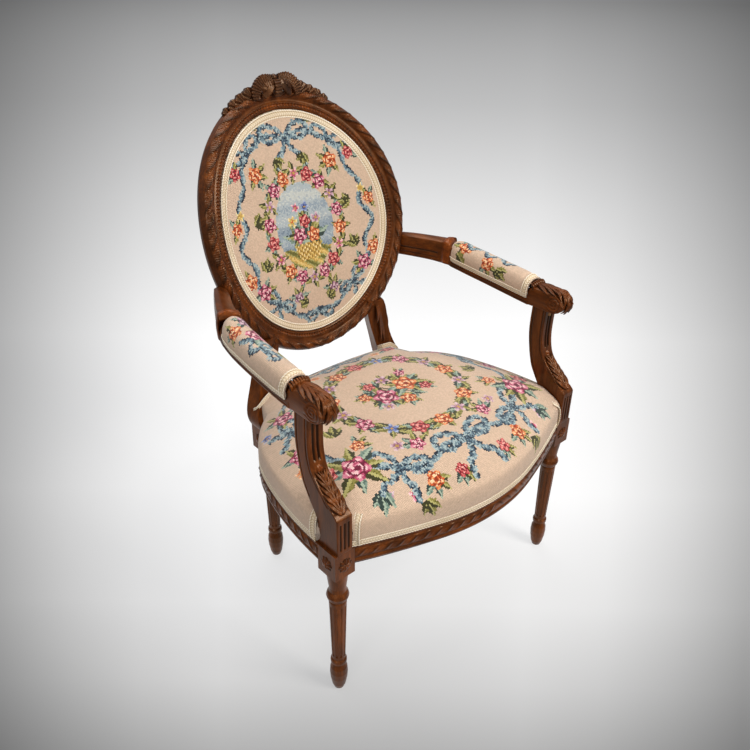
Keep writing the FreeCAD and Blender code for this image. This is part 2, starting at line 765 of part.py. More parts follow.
CREST_DEPTH = 2.0
CREST_SIDES = 8
CREST_STRAND = 5.5
CREST_LOOP_TILT = 25.0
# Each loop: u, v, turn in the oval's plane and radius of the strand's middle
CREST_LOOPS = [(17.0, 283.0, 38.0, 11.0), (41.0, 276.0, 12.0, 9.0)]
# Stations of the knot and of a tail: u, v and half thickness
CREST_KNOT = [(0.0, 267.0, 5.0), (0.0, 272.0, 10.0), (0.0, 279.0, 11.5), (0.0, 286.0, 10.0), (0.0, 291.0, 5.0)]
CREST_TAIL = [(44.0, 269.0, 7.0), (64.0, 262.0, 6.5), (84.0, 254.0, 6.0), (102.0, 244.0, 5.0), (118.0, 233.0, 3.5)]


def crest_bar(side, stations, ruled):
    """An eight-sided bar through stations in the oval's plane."""
    wires = []
    for index, (u, v, half) in enumerate(stations):
        before = stations[max(index - 1, 0)]
        after = stations[min(index + 1, len(stations) - 1)]
        across = Vector(before[1] - after[1], after[0] - before[0], 0).normalize()
        points = []
        for corner in range(CREST_SIDES):
            angle = math.radians(360 * (corner + 0.5) / CREST_SIDES)
            spot = Vector(u, v, CREST_DEPTH) + across * (half * math.cos(angle))
            spot.z += half * math.sin(angle)
            spot.x *= side
            points.append(oval_place.multVec(spot))
        wires.append(Part.makePolygon(points + points[:1]))
    return solid_loft(wires, ruled)


def crest_loop(name, side, middle, turn, radius):
    """A flat loop of ribbon, turned and tilted, with its eye cut through."""
    spin = Rotation(Vector(0, 0, 1), side * turn).multiply(Rotation(Vector(0, 1, 0), side * CREST_LOOP_TILT))
    base = Vector(side * middle.x, middle.y, CREST_DEPTH) - spin.multVec(Vector(0, 0, CREST_STRAND))
    blanks = []
    for suffix, reach in (("_rim", radius + CREST_STRAND), ("_eye", radius - CREST_STRAND)):
        blank = doc.addObject("Part::Cylinder", name + suffix)
        blank.Radius = reach
        blank.Height = 2 * CREST_STRAND
        blank.Placement = oval_place.multiply(Placement(base, spin))
        blanks.append(blank)
    return cut(name, *blanks)


def crest_feature(name, shape):
    item = doc.addObject("Part::Feature", name)
    item.Shape = shape
    return item


crest_items = [crest_feature("crest_knot", crest_bar(1, CREST_KNOT, True))]
for side, word in ((-1, "left"), (1, "right")):
    for number, (u, v, turn, radius) in enumerate(CREST_LOOPS, start=1):
        crest_items.append(crest_loop(f"crest_loop_{number}_{word}", side, Vector(u, v, 0), turn, radius))
    crest_items.append(crest_feature(f"crest_tail_{word}", crest_bar(side, CREST_TAIL, False)))
crest_blank = union("crest_blank", crest_items)
keep(cut("crest_ribbon", crest_blank, ring_blanks["back_top_rail"]), "crest_ribbon")
doc.recompute()


# Back and arm joints

def oval_point(angle, out, depth):
    cosine, sine = math.cos(math.radians(angle)), math.sin(math.radians(angle))
    u, v = (half_u + out) * cosine, (half_v + out) * sine
    return oval_place.multVec(Vector(u, v, bow_height(u) + depth))


RING_MIDDLE = (20.0, -10.0)
back_dowel_items = []
for angle, _ in RING_PIECES.values():
    before = oval_point(angle - 2, *RING_MIDDLE)
    after = oval_point(angle + 2, *RING_MIDDLE)
    back_dowel_items.append(dowel(f"back_dowel_{angle}", (before + after) / 2, after - before))
for side in (-1, 1):
    low = Vector(side * size("stile_waist_x"), size("stile_waist_y"), size("stile_waist_z"))
    high = Vector(side * size("stile_head_x"), size("stile_head_y"), size("stile_head_z"))
    way = high - low
    back_dowel_items.append(dowel(f"stile_dowel_{side + 2}", high + way * 0.28, way))
back_dowels = keep(group("back_dowels", back_dowel_items), "back_dowels")

ROOT_DOWEL_Z = 638.0
TOP_DOWEL_Z = 588.0
TOP_DOWEL_LENGTH = 26.0
FOOT_DOWEL_LENGTH = 50.0
arm_dowel_items = []
arms = {}
supports = {}
for side, word in ((-1, "left"), (1, "right")):
    arms[side] = arm_wood(f"{word}_arm_blank", side)
    supports[side] = arm_support(f"{word}_support_blank", side)
    post_x = side * size("front_leg_x")
    top_spot = Vector(post_x, post_back + 22, TOP_DOWEL_Z)
    arm_dowel_items.append(dowel(f"{word}_support_dowel", top_spot, Vector(0, 0, 1), TOP_DOWEL_LENGTH))
    foot_spot = Vector(post_x, post_front + 25, size("block_top"))
    arm_dowel_items.append(dowel(f"{word}_foot_dowel", foot_spot, Vector(0, 0, 1), FOOT_DOWEL_LENGTH))
    root = Vector(side * size("arm_root_x"), size("arm_root_y"), ROOT_DOWEL_Z)
    neck = Vector(side * size("arm_neck_x"), size("arm_neck_y"), ROOT_DOWEL_Z)
    spot = root + (neck - root) * 0.45
    arm_dowel_items.append(dowel(f"{word}_root_dowel", spot, root - neck))
arm_dowels = keep(group("arm_dowels", arm_dowel_items), "arm_dowels")
doc.recompute()

ring_all = union("ring_all", list(ring_blanks.values()))
joint_holes = union("joint_holes", [back_dowels, arm_dowels])
for label, blank in ring_blanks.items():
    keep(cut(label, blank, joint_holes), label)
for side, word in ((-1, "left"), (1, "right")):
    fitted_arm = cut(f"{word}_arm_fitted", arms[side], ring_all)
    keep(cut(f"{word}_arm", fitted_arm, arm_dowels), f"{word}_arm")
    seated = cut(f"{word}_support_seated", supports[side], arms[side])
    keep(cut(f"{word}_arm_support", seated, arm_dowels), f"{word}_arm_support")
    leg_holes = union(f"{word}_leg_holes", [rail_dowels, arm_dowels])
    keep(cut(f"front_{word}_leg", front_legs[side], leg_holes), f"front_{word}_leg")
    tapered = cut(f"rear_{word}_tapered", rear_legs[side], ring_all)
    rear_holes = union(f"rear_{word}_holes", [rail_dowels, back_dowels])
    keep(cut(f"rear_{word}_leg", tapered, rear_holes), f"rear_{word}_leg")
rail_blanks = {
    "front_rail": front_body,
    "left_side_rail": side_bodies[-1],
    "right_side_rail": side_bodies[1],
    "back_rail": back_body,
}
rail_holes = union("rail_holes", [rail_dowels, corner_screws])
for label, blank in rail_blanks.items():
    between = cut(label + "_between", blank, all_legs)
    keep(cut(label, between, rail_holes), label)
doc.recompute()


# Seat filling, from the floor side up

low_z = size("rail_bottom")
web = size("web_thickness")
SEAT_STRAPS = 4
STRAP_PITCH = 92.0
STRAP_INSET = 9.0
TACK_RADIUS = 3.0
TACK_HEAD = 0.8
TACK_INSET = 20.0
TACK_OFFSET = 15.0
under = seat_slab(STRAP_INSET, low_z - 20, low_z)
block_gaps = all_legs.Shape
strap_shapes = []
tack_shapes = []
for step in range(SEAT_STRAPS):
    offset = (step - (SEAT_STRAPS - 1) / 2) * STRAP_PITCH
    across = size("seat_mid_y") + offset
    low, deep = -2 * BLANK_REACH, 4 * BLANK_REACH
    level = Part.makeBox(deep, half_web * 2, web, Vector(low, across - half_web, low_z - web))
    strap_shapes.append(level.common(under).cut(block_gaps))
    upright = Part.makeBox(half_web * 2, deep, web, Vector(offset - half_web, low, low_z - 2 * web))
    strap_shapes.append(upright.common(under).cut(block_gaps))
for strap in strap_shapes:
    box = strap.BoundBox
    lengthways = box.XLength > box.YLength
    for end in (0, 1):
        for offset in (-TACK_OFFSET, TACK_OFFSET):
            if lengthways:
                x = box.XMin + TACK_INSET if end == 0 else box.XMax - TACK_INSET
                spot = Vector(x, box.Center.y + offset, box.ZMin - TACK_HEAD)
            else:
                y = box.YMin + TACK_INSET if end == 0 else box.YMax - TACK_INSET
                spot = Vector(box.Center.x + offset, y, box.ZMin - TACK_HEAD)
            tack_shapes.append(Part.makeCylinder(TACK_RADIUS, TACK_HEAD, spot))
kept_shape("seat_webbing", Part.makeCompound(strap_shapes))
kept_shape("webbing_tacks", Part.makeCompound(tack_shapes))
CAMBRIC_THICKNESS = 1.0
CAMBRIC_INSET = 7.0
dust_top = low_z - 2 * web - 1.5 * TACK_HEAD
dust = seat_slab(CAMBRIC_INSET, dust_top - CAMBRIC_THICKNESS, dust_top).cut(block_gaps)
kept_shape("dust_cover", dust)

wire_radius = size("spring_wire")
turns = size("spring_turns")
spring_rise = size("spring_height") - 2 * wire_radius
STEPS_PER_TURN = 4


def helix_state(step):
    """Point and heading of a spring's line after so many quarter turns."""
    angle = 2 * math.pi * step / STEPS_PER_TURN
    radius = size("spring_radius")
    climb = spring_rise / turns
    point = Vector(radius * math.cos(angle), radius * math.sin(angle), climb * step / STEPS_PER_TURN)
    around = 2 * math.pi * radius
    heading = Vector(-around * math.sin(angle), around * math.cos(angle), climb).normalize()
    return point, heading


def arc_between(start, control, end):
    """The arc from start to end whose end tangents meet at control."""
    middle = (start + end) / 2
    half_chord = (end - start).Length / 2
    half_turn = (control - start).getAngle(end - start)
    apex = middle + (control - middle).normalize() * (half_chord * math.tan(half_turn / 2))
    return Part.Arc(start, apex, end).toShape()


def biarc(start, end):
    """Two arcs that join smoothly, between two points with their headings."""
    (here, way_here), (there, way_there) = start, end
    chord = there - here
    spread = 2 * (1 - way_here.dot(way_there))
    pull = chord.dot(way_here + way_there)
    reach = (-pull + math.sqrt(pull**2 + spread * chord.dot(chord))) / spread
    first, second = here + way_here * reach, there - way_there * reach
    joint = (first + second) / 2
    return [arc_between(here, first, joint), arc_between(joint, second, there)]


arcs = []
for step in range(int(turns) * STEPS_PER_TURN):
    arcs += biarc(helix_state(step), helix_state(step + 1))
spine = Part.Wire(arcs)
start, heading = helix_state(0)
sweep = Part.BRepOffsetAPI.MakePipeShell(spine)
sweep.add(Part.Wire(Part.makeCircle(wire_radius, start, heading)))
sweep.build()
sweep.makeSolid()
spring = sweep.shape()
wire_volume = math.pi * wire_radius**2 * spine.Length
least_gap = spring_rise / turns - 2 * wire_radius
print(f"spring: wire {spine.Length:.0f} mm, volume {spring.Volume:.0f} of {wire_volume:.0f} mm3,"
      f" least gap {least_gap:.1f} mm")
springs = []
pitch = size("spring_pitch")
for across in (-1, 0, 1):
    for along in (-1, 0, 1):
        copy = spring.copy()
        copy.translate(Vector(across * pitch, size("seat_mid_y") + along * pitch, low_z + wire_radius))
        springs.append(copy)
kept_shape("seat_springs", Part.makeCompound(springs))

TWINE_RADIUS = 1.0
TWINE_HALF_WIDTH = 205.0
TWINE_HALF_DEPTH = 172.0
spring_top = low_z + size("spring_height")
twines = []
for step in (-1, 0, 1):
    low_twine = spring_top + 1.2 * TWINE_RADIUS
    start = Vector(-TWINE_HALF_WIDTH, size("seat_mid_y") + step * pitch, low_twine)
    twines.append(Part.makeCylinder(TWINE_RADIUS, 2 * TWINE_HALF_WIDTH, start, Vector(1, 0, 0)))
    high_twine = low_twine + 2.2 * TWINE_RADIUS
    start = Vector(step * pitch, size("seat_mid_y") - TWINE_HALF_DEPTH, high_twine)
    twines.append(Part.makeCylinder(TWINE_RADIUS, 2 * TWINE_HALF_DEPTH, start, Vector(0, 1, 0)))
kept_shape("spring_twine", Part.makeCompound(twines))

# The cushion is notched round the arm supports and the stiles
NOTCH_WIDTH, NOTCH_DEPTH, NOTCH_HEIGHT = 80.0, 110.0, 260.0
NOTCH_CLEARANCE = 1.0
hessian_high = spring_top + 6 * TWINE_RADIUS
post_boxes = []
for side in (-1, 1):
    corner_x = size("front_leg_x") - size("post_width") / 2 - NOTCH_CLEARANCE
    low_x = corner_x if side > 0 else -corner_x - NOTCH_WIDTH
    spot = Vector(low_x, post_back + NOTCH_CLEARANCE - NOTCH_DEPTH, size("block_top") - 12)
    post_boxes.append(Part.makeBox(NOTCH_WIDTH, NOTCH_DEPTH, NOTCH_HEIGHT, spot))
stile_shapes = [rear_legs[-1].Shape, rear_legs[1].Shape]
gaps = post_boxes + stile_shapes


def cleared(shape):
    for gap in gaps:
        shape = shape.cut(gap)
    return shape


# Cushion: height, inset of its outline from the rails, and how far its skin faces up
edge_z = size("cushion_edge_z")
cushion_rise = size("cushion_top_z") - edge_z
EDGE_INSET = 7.0
FLAT_INSET = 226.0
CROWN_SHARES = (0.07, 0.17, 0.32, 0.52, 0.75, 1.0)
CUSHION_LEVELS = [
    (size("block_top") + 0.3, 3.0, 0.0), (371.0, -1.0, 0.0), (388.0, 0.0, 0.1),
    (edge_z - 5, 3.0, 0.4), (edge_z, EDGE_INSET, 0.7),
]
for share in CROWN_SHARES:
    height = edge_z + cushion_rise * (1 - (1 - share) ** CROWN_POWER)
    CUSHION_LEVELS.append((height, EDGE_INSET + (FLAT_INSET - EDGE_INSET) * share, 1.0))
pivot = Vector(0, size("seat_mid_y"), 0)


def scaled_plan(inset, z):
    share = 1 - inset / size("seat_half_width")
    wire = seat_plan(0, 0).scaled(share, pivot)
    wire.translate(Vector(0, 0, z))
    return wire


TENT_FOOT_INSET = 6.0
TENT_TOP_INSET = 50.0
SPRING_CLOTH = 1.4


def tent(skin):
    """The room under the hessian that is stretched from the rails over the springs."""
    low = scaled_plan(TENT_FOOT_INSET + skin, size("block_top") + 0.2 - skin)
    return solid_loft([low, scaled_plan(TENT_TOP_INSET + skin, hessian_high - skin)], True)


def cushion(skin):
    """The cushion's form, or what is inside its cover when skin is the cover's thickness."""
    wires = []
    for z, inset, upward in CUSHION_LEVELS:
        sideways = math.sqrt(1 - upward**2)
        wires.append(scaled_plan(inset + skin * sideways, z - skin * upward))
    return solid_loft(wires, True)


cushion_outer = cushion(0)
cushion_inner = cushion(cover)
tent_outer = tent(0)
kept_shape("spring_hessian", cleared(tent_outer.cut(tent(SPRING_CLOTH))))
kept_shape("seat_cover", cleared(cushion_outer.cut(cushion_inner)))
kept_shape("seat_stuffing", cleared(cushion_inner.cut(tent_outer)))

gimp_low = size("block_top") + CLEARANCE
gimp_thick = size("gimp_thickness")
GIMP_INSETS = (3.0, 0.2)
braid_low = scaled_plan(GIMP_INSETS[0] - gimp_thick, gimp_low)
braid_high = scaled_plan(GIMP_INSETS[1] - gimp_thick, gimp_low + size("gimp_width"))
braid_outer = solid_loft([braid_low, braid_high], True)
kept_shape("seat_gimp", cleared(braid_outer.cut(cushion_outer)))
doc.recompute()


# Arm pads: y and the share of the full height there

PAD_STATIONS = [
    (65.0, 0.8), (42.0, 0.95), (14.0, 1.0), (-26.0, 1.0), (-70.0, 1.0), (-112.0, 0.94), (-143.0, 0.76),
]
PAD_GAP = 0.6
PAD_BULGE = 3.0
PAD_TAPER = 0.14
# Shares of the pad's height and width where its section turns
PAD_FLANK = 0.45
PAD_SHOULDER = 0.88
PAD_CROWN = 0.66
PAD_BRAID_HEIGHT = 8.4
# The pad's hollow and the braid's opening pass this far below the pad's foot
PAD_DROP = 3.0


def tray_at(y):
    """Middle and height of the arm's tray at y."""
    stations = [arm_station(name) for name in TRAY_STATIONS]
    for near, far in zip(stations, stations[1:]):
        if near[1] >= y >= far[1]:
            share = (near[1] - y) / (near[1] - far[1])
            return near[0] + (far[0] - near[0]) * share, near[3] + (far[3] - near[3]) * share
    raise ValueError(y)


def pad_loft(side, skin, drop=0.0):
    """The pad's shape, made smaller by a skin and carried on below its foot by a drop."""
    wires = []
    half = size("pad_half_width") - skin
    for index, (y, share) in enumerate(PAD_STATIONS):
        if index == 0:
            y -= skin
        if index == len(PAD_STATIONS) - 1:
            y += skin
        x, floor = tray_at(y)
        floor += PAD_GAP
        high = size("pad_height") * share - skin
        wide = half * (1 - PAD_TAPER * (1 - share))
        bulge = wide + PAD_BULGE
        flank, shoulder = floor + high * PAD_FLANK, floor + high * PAD_SHOULDER
        low_left, low_right = Vector(x - wide, y, floor), Vector(x + wide, y, floor)
        feet = [Vector(x + way * wide, y, floor - drop) for way in (-1, 1)]
        top_left, top_right = (Vector(x + way * wide * PAD_CROWN, y, shoulder) for way in (-1, 1))
        edges = [line(*feet)]
        if drop:
            edges.append(line(feet[1], low_right))
        edges += [
            Part.Arc(low_right, Vector(x + bulge, y, flank), top_right).toShape(),
            Part.Arc(top_right, Vector(x, y, floor + high), top_left).toShape(),
            Part.Arc(top_left, Vector(x - bulge, y, flank), low_left).toShape(),
        ]
        if drop:
            edges.append(line(low_left, feet[0]))
        wires.append(Part.Wire(edges))
    shape = solid_loft(wires, True)
    return shape if side > 0 else shape.mirror(Vector(0, 0, 0), Vector(1, 0, 0))


def pad_braid(side):
    wires = []
    half = size("pad_half_width") + gimp_thick
    first, last = PAD_STATIONS[0][0] + gimp_thick, PAD_STATIONS[-1][0] - gimp_thick
    for y in [first] + [y for y, share in PAD_STATIONS[1:-1]] + [last]:
        x, floor = tray_at(y)
        low = floor + PAD_GAP
        high = low + PAD_BRAID_HEIGHT
        corners = [(x - half, low), (x + half, low), (x + half, high), (x - half, high)]
        points = [Vector(a, y, b) for a, b in corners]
        wires.append(Part.makePolygon(points + points[:1]))
    shape = solid_loft(wires, True)
    if side < 0:
        shape = shape.mirror(Vector(0, 0, 0), Vector(1, 0, 0))
    return shape.cut(pad_loft(side, 0, PAD_DROP))


for side, word in ((-1, "left"), (1, "right")):
    pad_outer = pad_loft(side, 0)
    pad_inner = pad_loft(side, cover, PAD_DROP)
    kept_shape(f"{word}_arm_cover", pad_outer.cut(pad_inner))
    kept_shape(f"{word}_arm_stuffing", pad_outer.common(pad_inner))
    kept_shape(f"{word}_arm_gimp", pad_braid(side).cut(arms[side].Shape))
doc.recompute()


# Check and write

for item in doc.Objects:
    if "Invalid" in item.State or "Error" in item.State:
        raise RuntimeError(f"{item.Label} failed: {item.State}")
os.makedirs("parts", exist_ok=True)
for node in nodes:
    shape = node.Shape
    if shape.isNull() or not shape.isValid() or not shape.Solids:
        raise RuntimeError(f"{node.Label} has no valid solid")
    shape.exportStep(f"parts/{node.Label}.step")
    box = shape.BoundBox
    print(f"{node.Label}: {len(shape.Solids)} solids, {shape.Volume / 1000:.1f} cm3,"
          f" z {box.ZMin:.1f} to {box.ZMax:.1f}")
whole = Part.makeCompound([node.Shape for node in nodes]).BoundBox
print(f"{len(nodes)} nodes, x {whole.XMin:.1f} {whole.XMax:.1f}, y {whole.YMin:.1f} {whole.YMax:.1f},"
      f" z {whole.ZMin:.1f} {whole.ZMax:.1f}")
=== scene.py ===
import json
import math

import bmesh
import bpy
import numpy as np
from mathutils import Matrix, Vector


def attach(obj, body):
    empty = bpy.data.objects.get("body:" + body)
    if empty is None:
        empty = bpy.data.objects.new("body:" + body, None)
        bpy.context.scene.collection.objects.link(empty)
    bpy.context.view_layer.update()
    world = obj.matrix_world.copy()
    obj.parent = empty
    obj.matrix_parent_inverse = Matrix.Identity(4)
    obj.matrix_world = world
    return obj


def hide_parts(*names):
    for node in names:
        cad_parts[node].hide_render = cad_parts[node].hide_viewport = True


# An oval-back armchair in carved walnut and needlepoint. Points are worked out in millimetres, in the
# row frame: +X to the viewer's right, the front faces -Y, the floor is at 0.

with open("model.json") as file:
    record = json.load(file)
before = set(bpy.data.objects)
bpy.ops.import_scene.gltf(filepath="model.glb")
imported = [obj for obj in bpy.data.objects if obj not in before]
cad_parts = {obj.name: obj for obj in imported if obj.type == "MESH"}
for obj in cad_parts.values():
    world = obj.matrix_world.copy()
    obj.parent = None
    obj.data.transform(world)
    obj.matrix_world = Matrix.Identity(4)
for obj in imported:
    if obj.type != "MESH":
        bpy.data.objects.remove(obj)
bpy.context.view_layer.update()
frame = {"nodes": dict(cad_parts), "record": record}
MM = 0.001

# Driving dimensions, as in the frame
OVAL_Y, OVAL_Z, OVAL_LEAN = 241.0, 718.0, 16.6
HALF_U, HALF_V, BOW_RADIUS = 201.0, 225.0, 542.0
BACK_CROWN = 15.0
POST_X, POST_WIDTH = 299.2, 32.4
FRONT_LEG_Y, REAR_LEG_X = -242.0, 182.0
RAIL_TOP = 352.0
SEAT_FRONT_Y, SEAT_HALF_WIDTH, SEAT_MID_Y, SEAT_BACK_Y = -336.0, 320.4, -82.0, 173.0
CUSHION_EDGE_Z, CUSHION_TOP_Z = 404.0, 455.0
STITCH = 2.7
CLOTH_THICKNESS = 2.0
SPAN_SAMPLES = 24
TINY = 1e-9
UP = (0.0, 0.0, 1.0)
SQUARE = [(-1, -1), (1, -1), (1, 1), (-1, 1)]


def random_of(*numbers):
    """A repeatable value from 0 to 1 for each row of whole numbers."""
    mixed = np.zeros(np.broadcast(*numbers).shape)
    for index, value in enumerate(numbers):
        mixed = mixed + np.asarray(value, float) * (12.9898 + 65.4321 * index)
    share = np.sin(mixed) * 43758.5453
    return share - np.floor(share)


# Meshes

def add_mesh(name, points, polygons, material, values=None):
    """A piece from points in millimetres and a list of arrays of corners, one row for each face."""
    mesh = bpy.data.meshes.new(name)
    points = np.asarray(points, float).reshape(-1, 3) * MM
    groups = [np.asarray(group, np.int64) for group in polygons if len(group)]
    corners = np.concatenate([group.ravel() for group in groups])
    sizes = np.concatenate([np.full(len(group), group.shape[1]) for group in groups])
    starts = np.concatenate([[0], np.cumsum(sizes)[:-1]])
    mesh.vertices.add(len(points))
    mesh.vertices.foreach_set("co", points.astype(np.float32).ravel())
    mesh.loops.add(len(corners))
    mesh.loops.foreach_set("vertex_index", corners.astype(np.int32))
    mesh.polygons.add(len(sizes))
    mesh.polygons.foreach_set("loop_start", starts.astype(np.int32))
    mesh.polygons.foreach_set("use_smooth", np.full(len(sizes), True))
    mesh.update(calc_edges=True)
    for key, value in (values or {}).items():
        layer = mesh.attributes.new(key, "FLOAT", "POINT")
        layer.data.foreach_set("value", np.asarray(value, np.float32).ravel())
    mesh.materials.append(material)
    piece = bpy.data.objects.new(name, mesh)
    bpy.context.scene.collection.objects.link(piece)
    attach(piece, "root")
    return piece


def grid_faces(rows, columns, close_columns=False):
    """Four-sided faces of a grid of points, counted row by row."""
    row = np.arange(rows - 1)
    column = np.arange(columns if close_columns else columns - 1)
    i, j = (part.ravel() for part in np.meshgrid(row, column, indexing="ij"))
    i_next, j_next = i + 1, (j + 1) % columns
    corners = [i * columns + j, i * columns + j_next, i_next * columns + j_next, i_next * columns + j]
    return np.stack(corners, axis=1)


def join_parts(parts):
    """Points, face groups and one value for each point, of several (points, groups, value) parts."""
    points, groups, values, first = [], [], [], 0
    for part_points, part_groups, part_values in parts:
        part_points = np.asarray(part_points, float).reshape(-1, 3)
        points.append(part_points)
        groups += [np.asarray(group) + first for group in part_groups]
        values.append(np.broadcast_to(part_values, (len(part_points),)))
        first += len(part_points)
    return np.concatenate(points), groups, np.concatenate(values)


def smooth_curve(points, spacing=None, count=None):
    """A Catmull-Rom curve through points, with its samples evenly spaced."""
    points = np.asarray(points, float)
    padded = np.vstack([2 * points[0] - points[1], points, 2 * points[-1] - points[-2]])
    share = np.linspace(0, 1, SPAN_SAMPLES, endpoint=False)[:, None]
    spans = []
    for index in range(len(padded) - 3):
        before, here, there, after = padded[index:index + 4]
        spans.append(0.5 * (
            2 * here + (there - before) * share
            + (2 * before - 5 * here + 4 * there - after) * share**2
            + (3 * here - before - 3 * there + after) * share**3
        ))
    dense = np.vstack(spans + [padded[-2:-1]])
    return even(dense, spacing, count)


def even(points, spacing=None, count=None):
    """Evenly spaced samples along a broken line."""
    points = np.asarray(points, float)
    lengths = np.concatenate([[0], np.cumsum(np.linalg.norm(np.diff(points, axis=0), axis=1))])
    if count is None:
        count = max(2, int(round(lengths[-1] / spacing)) + 1)
    at = np.linspace(0, lengths[-1], count)
    return np.stack([np.interp(at, lengths, points[:, axis]) for axis in range(points.shape[1])], axis=1)


def softened(loop, spacing, softness):
    """A closed outline sampled evenly, with its corners rounded."""
    loop = np.asarray(loop, float)
    samples = even(np.vstack([loop, loop[:1]]), spacing)[:-1]
    for _ in range(softness):
        samples = (np.roll(samples, 1, 0) + 2 * samples + np.roll(samples, -1, 0)) / 4
    return samples


def unit(vectors):
    return vectors / np.maximum(np.linalg.norm(vectors, axis=-1, keepdims=True), TINY)


def repeated(vector, count):
    return np.tile(vector, (count, 1))


def circle(count):
    around = np.linspace(0, 2 * np.pi, count, endpoint=False)
    return np.column_stack([np.cos(around), np.sin(around)])


def outline_normals(loop):
    """Unit normals of a closed outline, on its right-hand side as it is walked."""
    along = np.roll(loop, -1, 0) - np.roll(loop, 1, 0)
    return unit(np.stack([along[:, 1], -along[:, 0]], axis=1))


def bar_part(base, across, upward, loops, relief=None):
    """A solid along base (n, 3), whose section at each row is loops (n, m, 2) in across and upward."""
    rows, columns = loops.shape[:2]
    raised = loops
    if relief is not None:
        normals = np.stack([outline_normals(loop) for loop in loops])
        raised = loops + normals * relief[..., None]
    points = base[:, None] + across[:, None] * raised[..., :1] + upward[:, None] * raised[..., 1:]
    ends = [np.arange(columns)[None, ::-1], (rows - 1) * columns + np.arange(columns)[None, :]]
    groups = [grid_faces(rows, columns, True), *ends]
    values = np.zeros((rows, columns)) if relief is None else relief
    return points.reshape(-1, 3), groups, values.ravel()


def add_bar(name, parts, material):
    points, groups, values = join_parts(parts)
    # The values become the relief attribute, which the wood and braid materials turn into painted shade in
    # hollows and gaps.
    return add_mesh(name, points, groups, material, {"relief": values})


# Materials

def colour(red, green, blue):
    """A colour from 0 to 255 in each channel, as light."""
    channels = []
    for value in (red, green, blue):
        share = value / 255
        channels.append(share / 12.92 if share <= 0.04045 else ((share + 0.055) / 1.055) ** 2.4)
    return (*channels, 1.0)


class Nodes:
    """A material's node tree, built by name."""

    def __init__(self, name):
        self.material = bpy.data.materials.new(name)
        self.material.use_nodes = True
        self.tree = self.material.node_tree
        self.shader = self.tree.nodes["Principled BSDF"]

    def add(self, kind, **settings):
        node = self.tree.nodes.new(kind)
        for key, value in settings.items():
            setattr(node, key, value)
        return node

    def link(self, source, target):
        self.tree.links.new(source, target)

    def math(self, operation, first, second=None, clamp=False):
        node = self.add("ShaderNodeMath", operation=operation, use_clamp=clamp)
        for index, value in enumerate((first, second)):
            if value is None:
                continue
            if isinstance(value, (int, float)):
                node.inputs[index].default_value = value
            else:
                self.link(value, node.inputs[index])
        return node.outputs[0]

    def mix(self, share, first, second, blend="MIX"):
        node = self.add("ShaderNodeMix", data_type="RGBA", blend_type=blend)
        for socket, value in ((node.inputs[0], share), (node.inputs[6], first), (node.inputs[7], second)):
            if isinstance(value, (int, float, tuple)):
                socket.default_value = value
            else:
                self.link(value, socket)
        return node.outputs[2]

    def ramp(self, source, stops):
        node = self.add("ShaderNodeValToRGB")
        elements = node.color_ramp.elements
        while len(elements) < len(stops):
            elements.new(0.5)
        for element, (place, shade) in zip(elements, stops):
            element.position = place
            element.color = shade
        self.link(source, node.inputs[0])
        return node.outputs[0]

    def grey_ramp(self, source, stops):
        return self.ramp(source, [(place, (level, level, level, 1)) for place, level in stops])

    def noise(self, scale, detail=4.0, stretch=(1, 1, 1), roughness=0.5):
        place = self.add("ShaderNodeTexCoord")
        mapping = self.add("ShaderNodeMapping")
        mapping.inputs["Scale"].default_value = stretch
        self.link(place.outputs["Object"], mapping.inputs["Vector"])
        node = self.add("ShaderNodeTexNoise")
        node.inputs["Scale"].default_value = scale
        node.inputs["Detail"].default_value = detail
        node.inputs["Roughness"].default_value = roughness
        self.link(mapping.outputs[0], node.inputs["Vector"])
        return node.outputs["Fac"]

    def attribute(self, name):
        return self.add("ShaderNodeAttribute", attribute_name=name).outputs["Fac"]

    def bump(self, height, strength, distance):
        node = self.add("ShaderNodeBump")
        node.inputs["Strength"].default_value = strength
        node.inputs["Distance"].default_value = distance
        self.link(height, node.inputs["Height"])
        self.link(node.outputs[0], self.shader.inputs["Normal"])

    def set(self, **values):
        for key, value in values.items():
            self.shader.inputs[key.replace("_", " ")].default_value = value


def wood(name, stretch, dark, middle, light, sheen_low=0.26, sheen_high=0.44):
    """Polished walnut: long grain, fine pores, painted shade in the hollows and worn edges."""
    nodes = Nodes(name)
    broad = nodes.noise(9.0, 5.0, stretch, 0.62)
    fine = nodes.noise(70.0, 3.0, stretch, 0.6)
    patches = nodes.noise(5.0, 2.0)
    grain = nodes.math("ADD", nodes.math("MULTIPLY", broad, 0.66), nodes.math("MULTIPLY", fine, 0.34))
    base = nodes.ramp(grain, [(0.3, colour(*dark)), (0.5, colour(*middle)), (0.72, colour(*light))])
    cloudy = nodes.ramp(patches, [(0.3, (0.62, 0.58, 0.55, 1)), (0.7, (1.15, 1.12, 1.06, 1))])
    base = nodes.mix(1.0, base, cloudy, "MULTIPLY")
    # Painted shade: the carving's relief darkens the colour in its hollows, where shade would fall; raised
    # carving is lightened, as worn.
    depth = nodes.attribute("relief")
    hollow = nodes.ramp(
        nodes.math("ADD", nodes.math("MULTIPLY", depth, 0.16), 0.5),
        [(0.14, (0.1, 0.08, 0.07, 1)), (0.36, (0.45, 0.4, 0.37, 1)), (0.5, (1, 1, 1, 1)),
         (0.85, (1.7, 1.55, 1.35, 1))],
    )
    base = nodes.mix(1.0, base, hollow, "MULTIPLY")
    nodes.link(base, nodes.shader.inputs["Base Color"])
    rough = nodes.add("ShaderNodeMapRange")
    rough.inputs["To Min"].default_value = sheen_low
    rough.inputs["To Max"].default_value = sheen_high
    nodes.link(fine, rough.inputs["Value"])
    nodes.link(rough.outputs[0], nodes.shader.inputs["Roughness"])
    nodes.bump(grain, 0.25, 0.0006)
    nodes.set(
        Coat_Weight=0.08, Coat_Roughness=0.1, Specular_IOR_Level=0.42, Specular_Tint=(1.0, 0.58, 0.3, 1.0)
    )
    return nodes.material


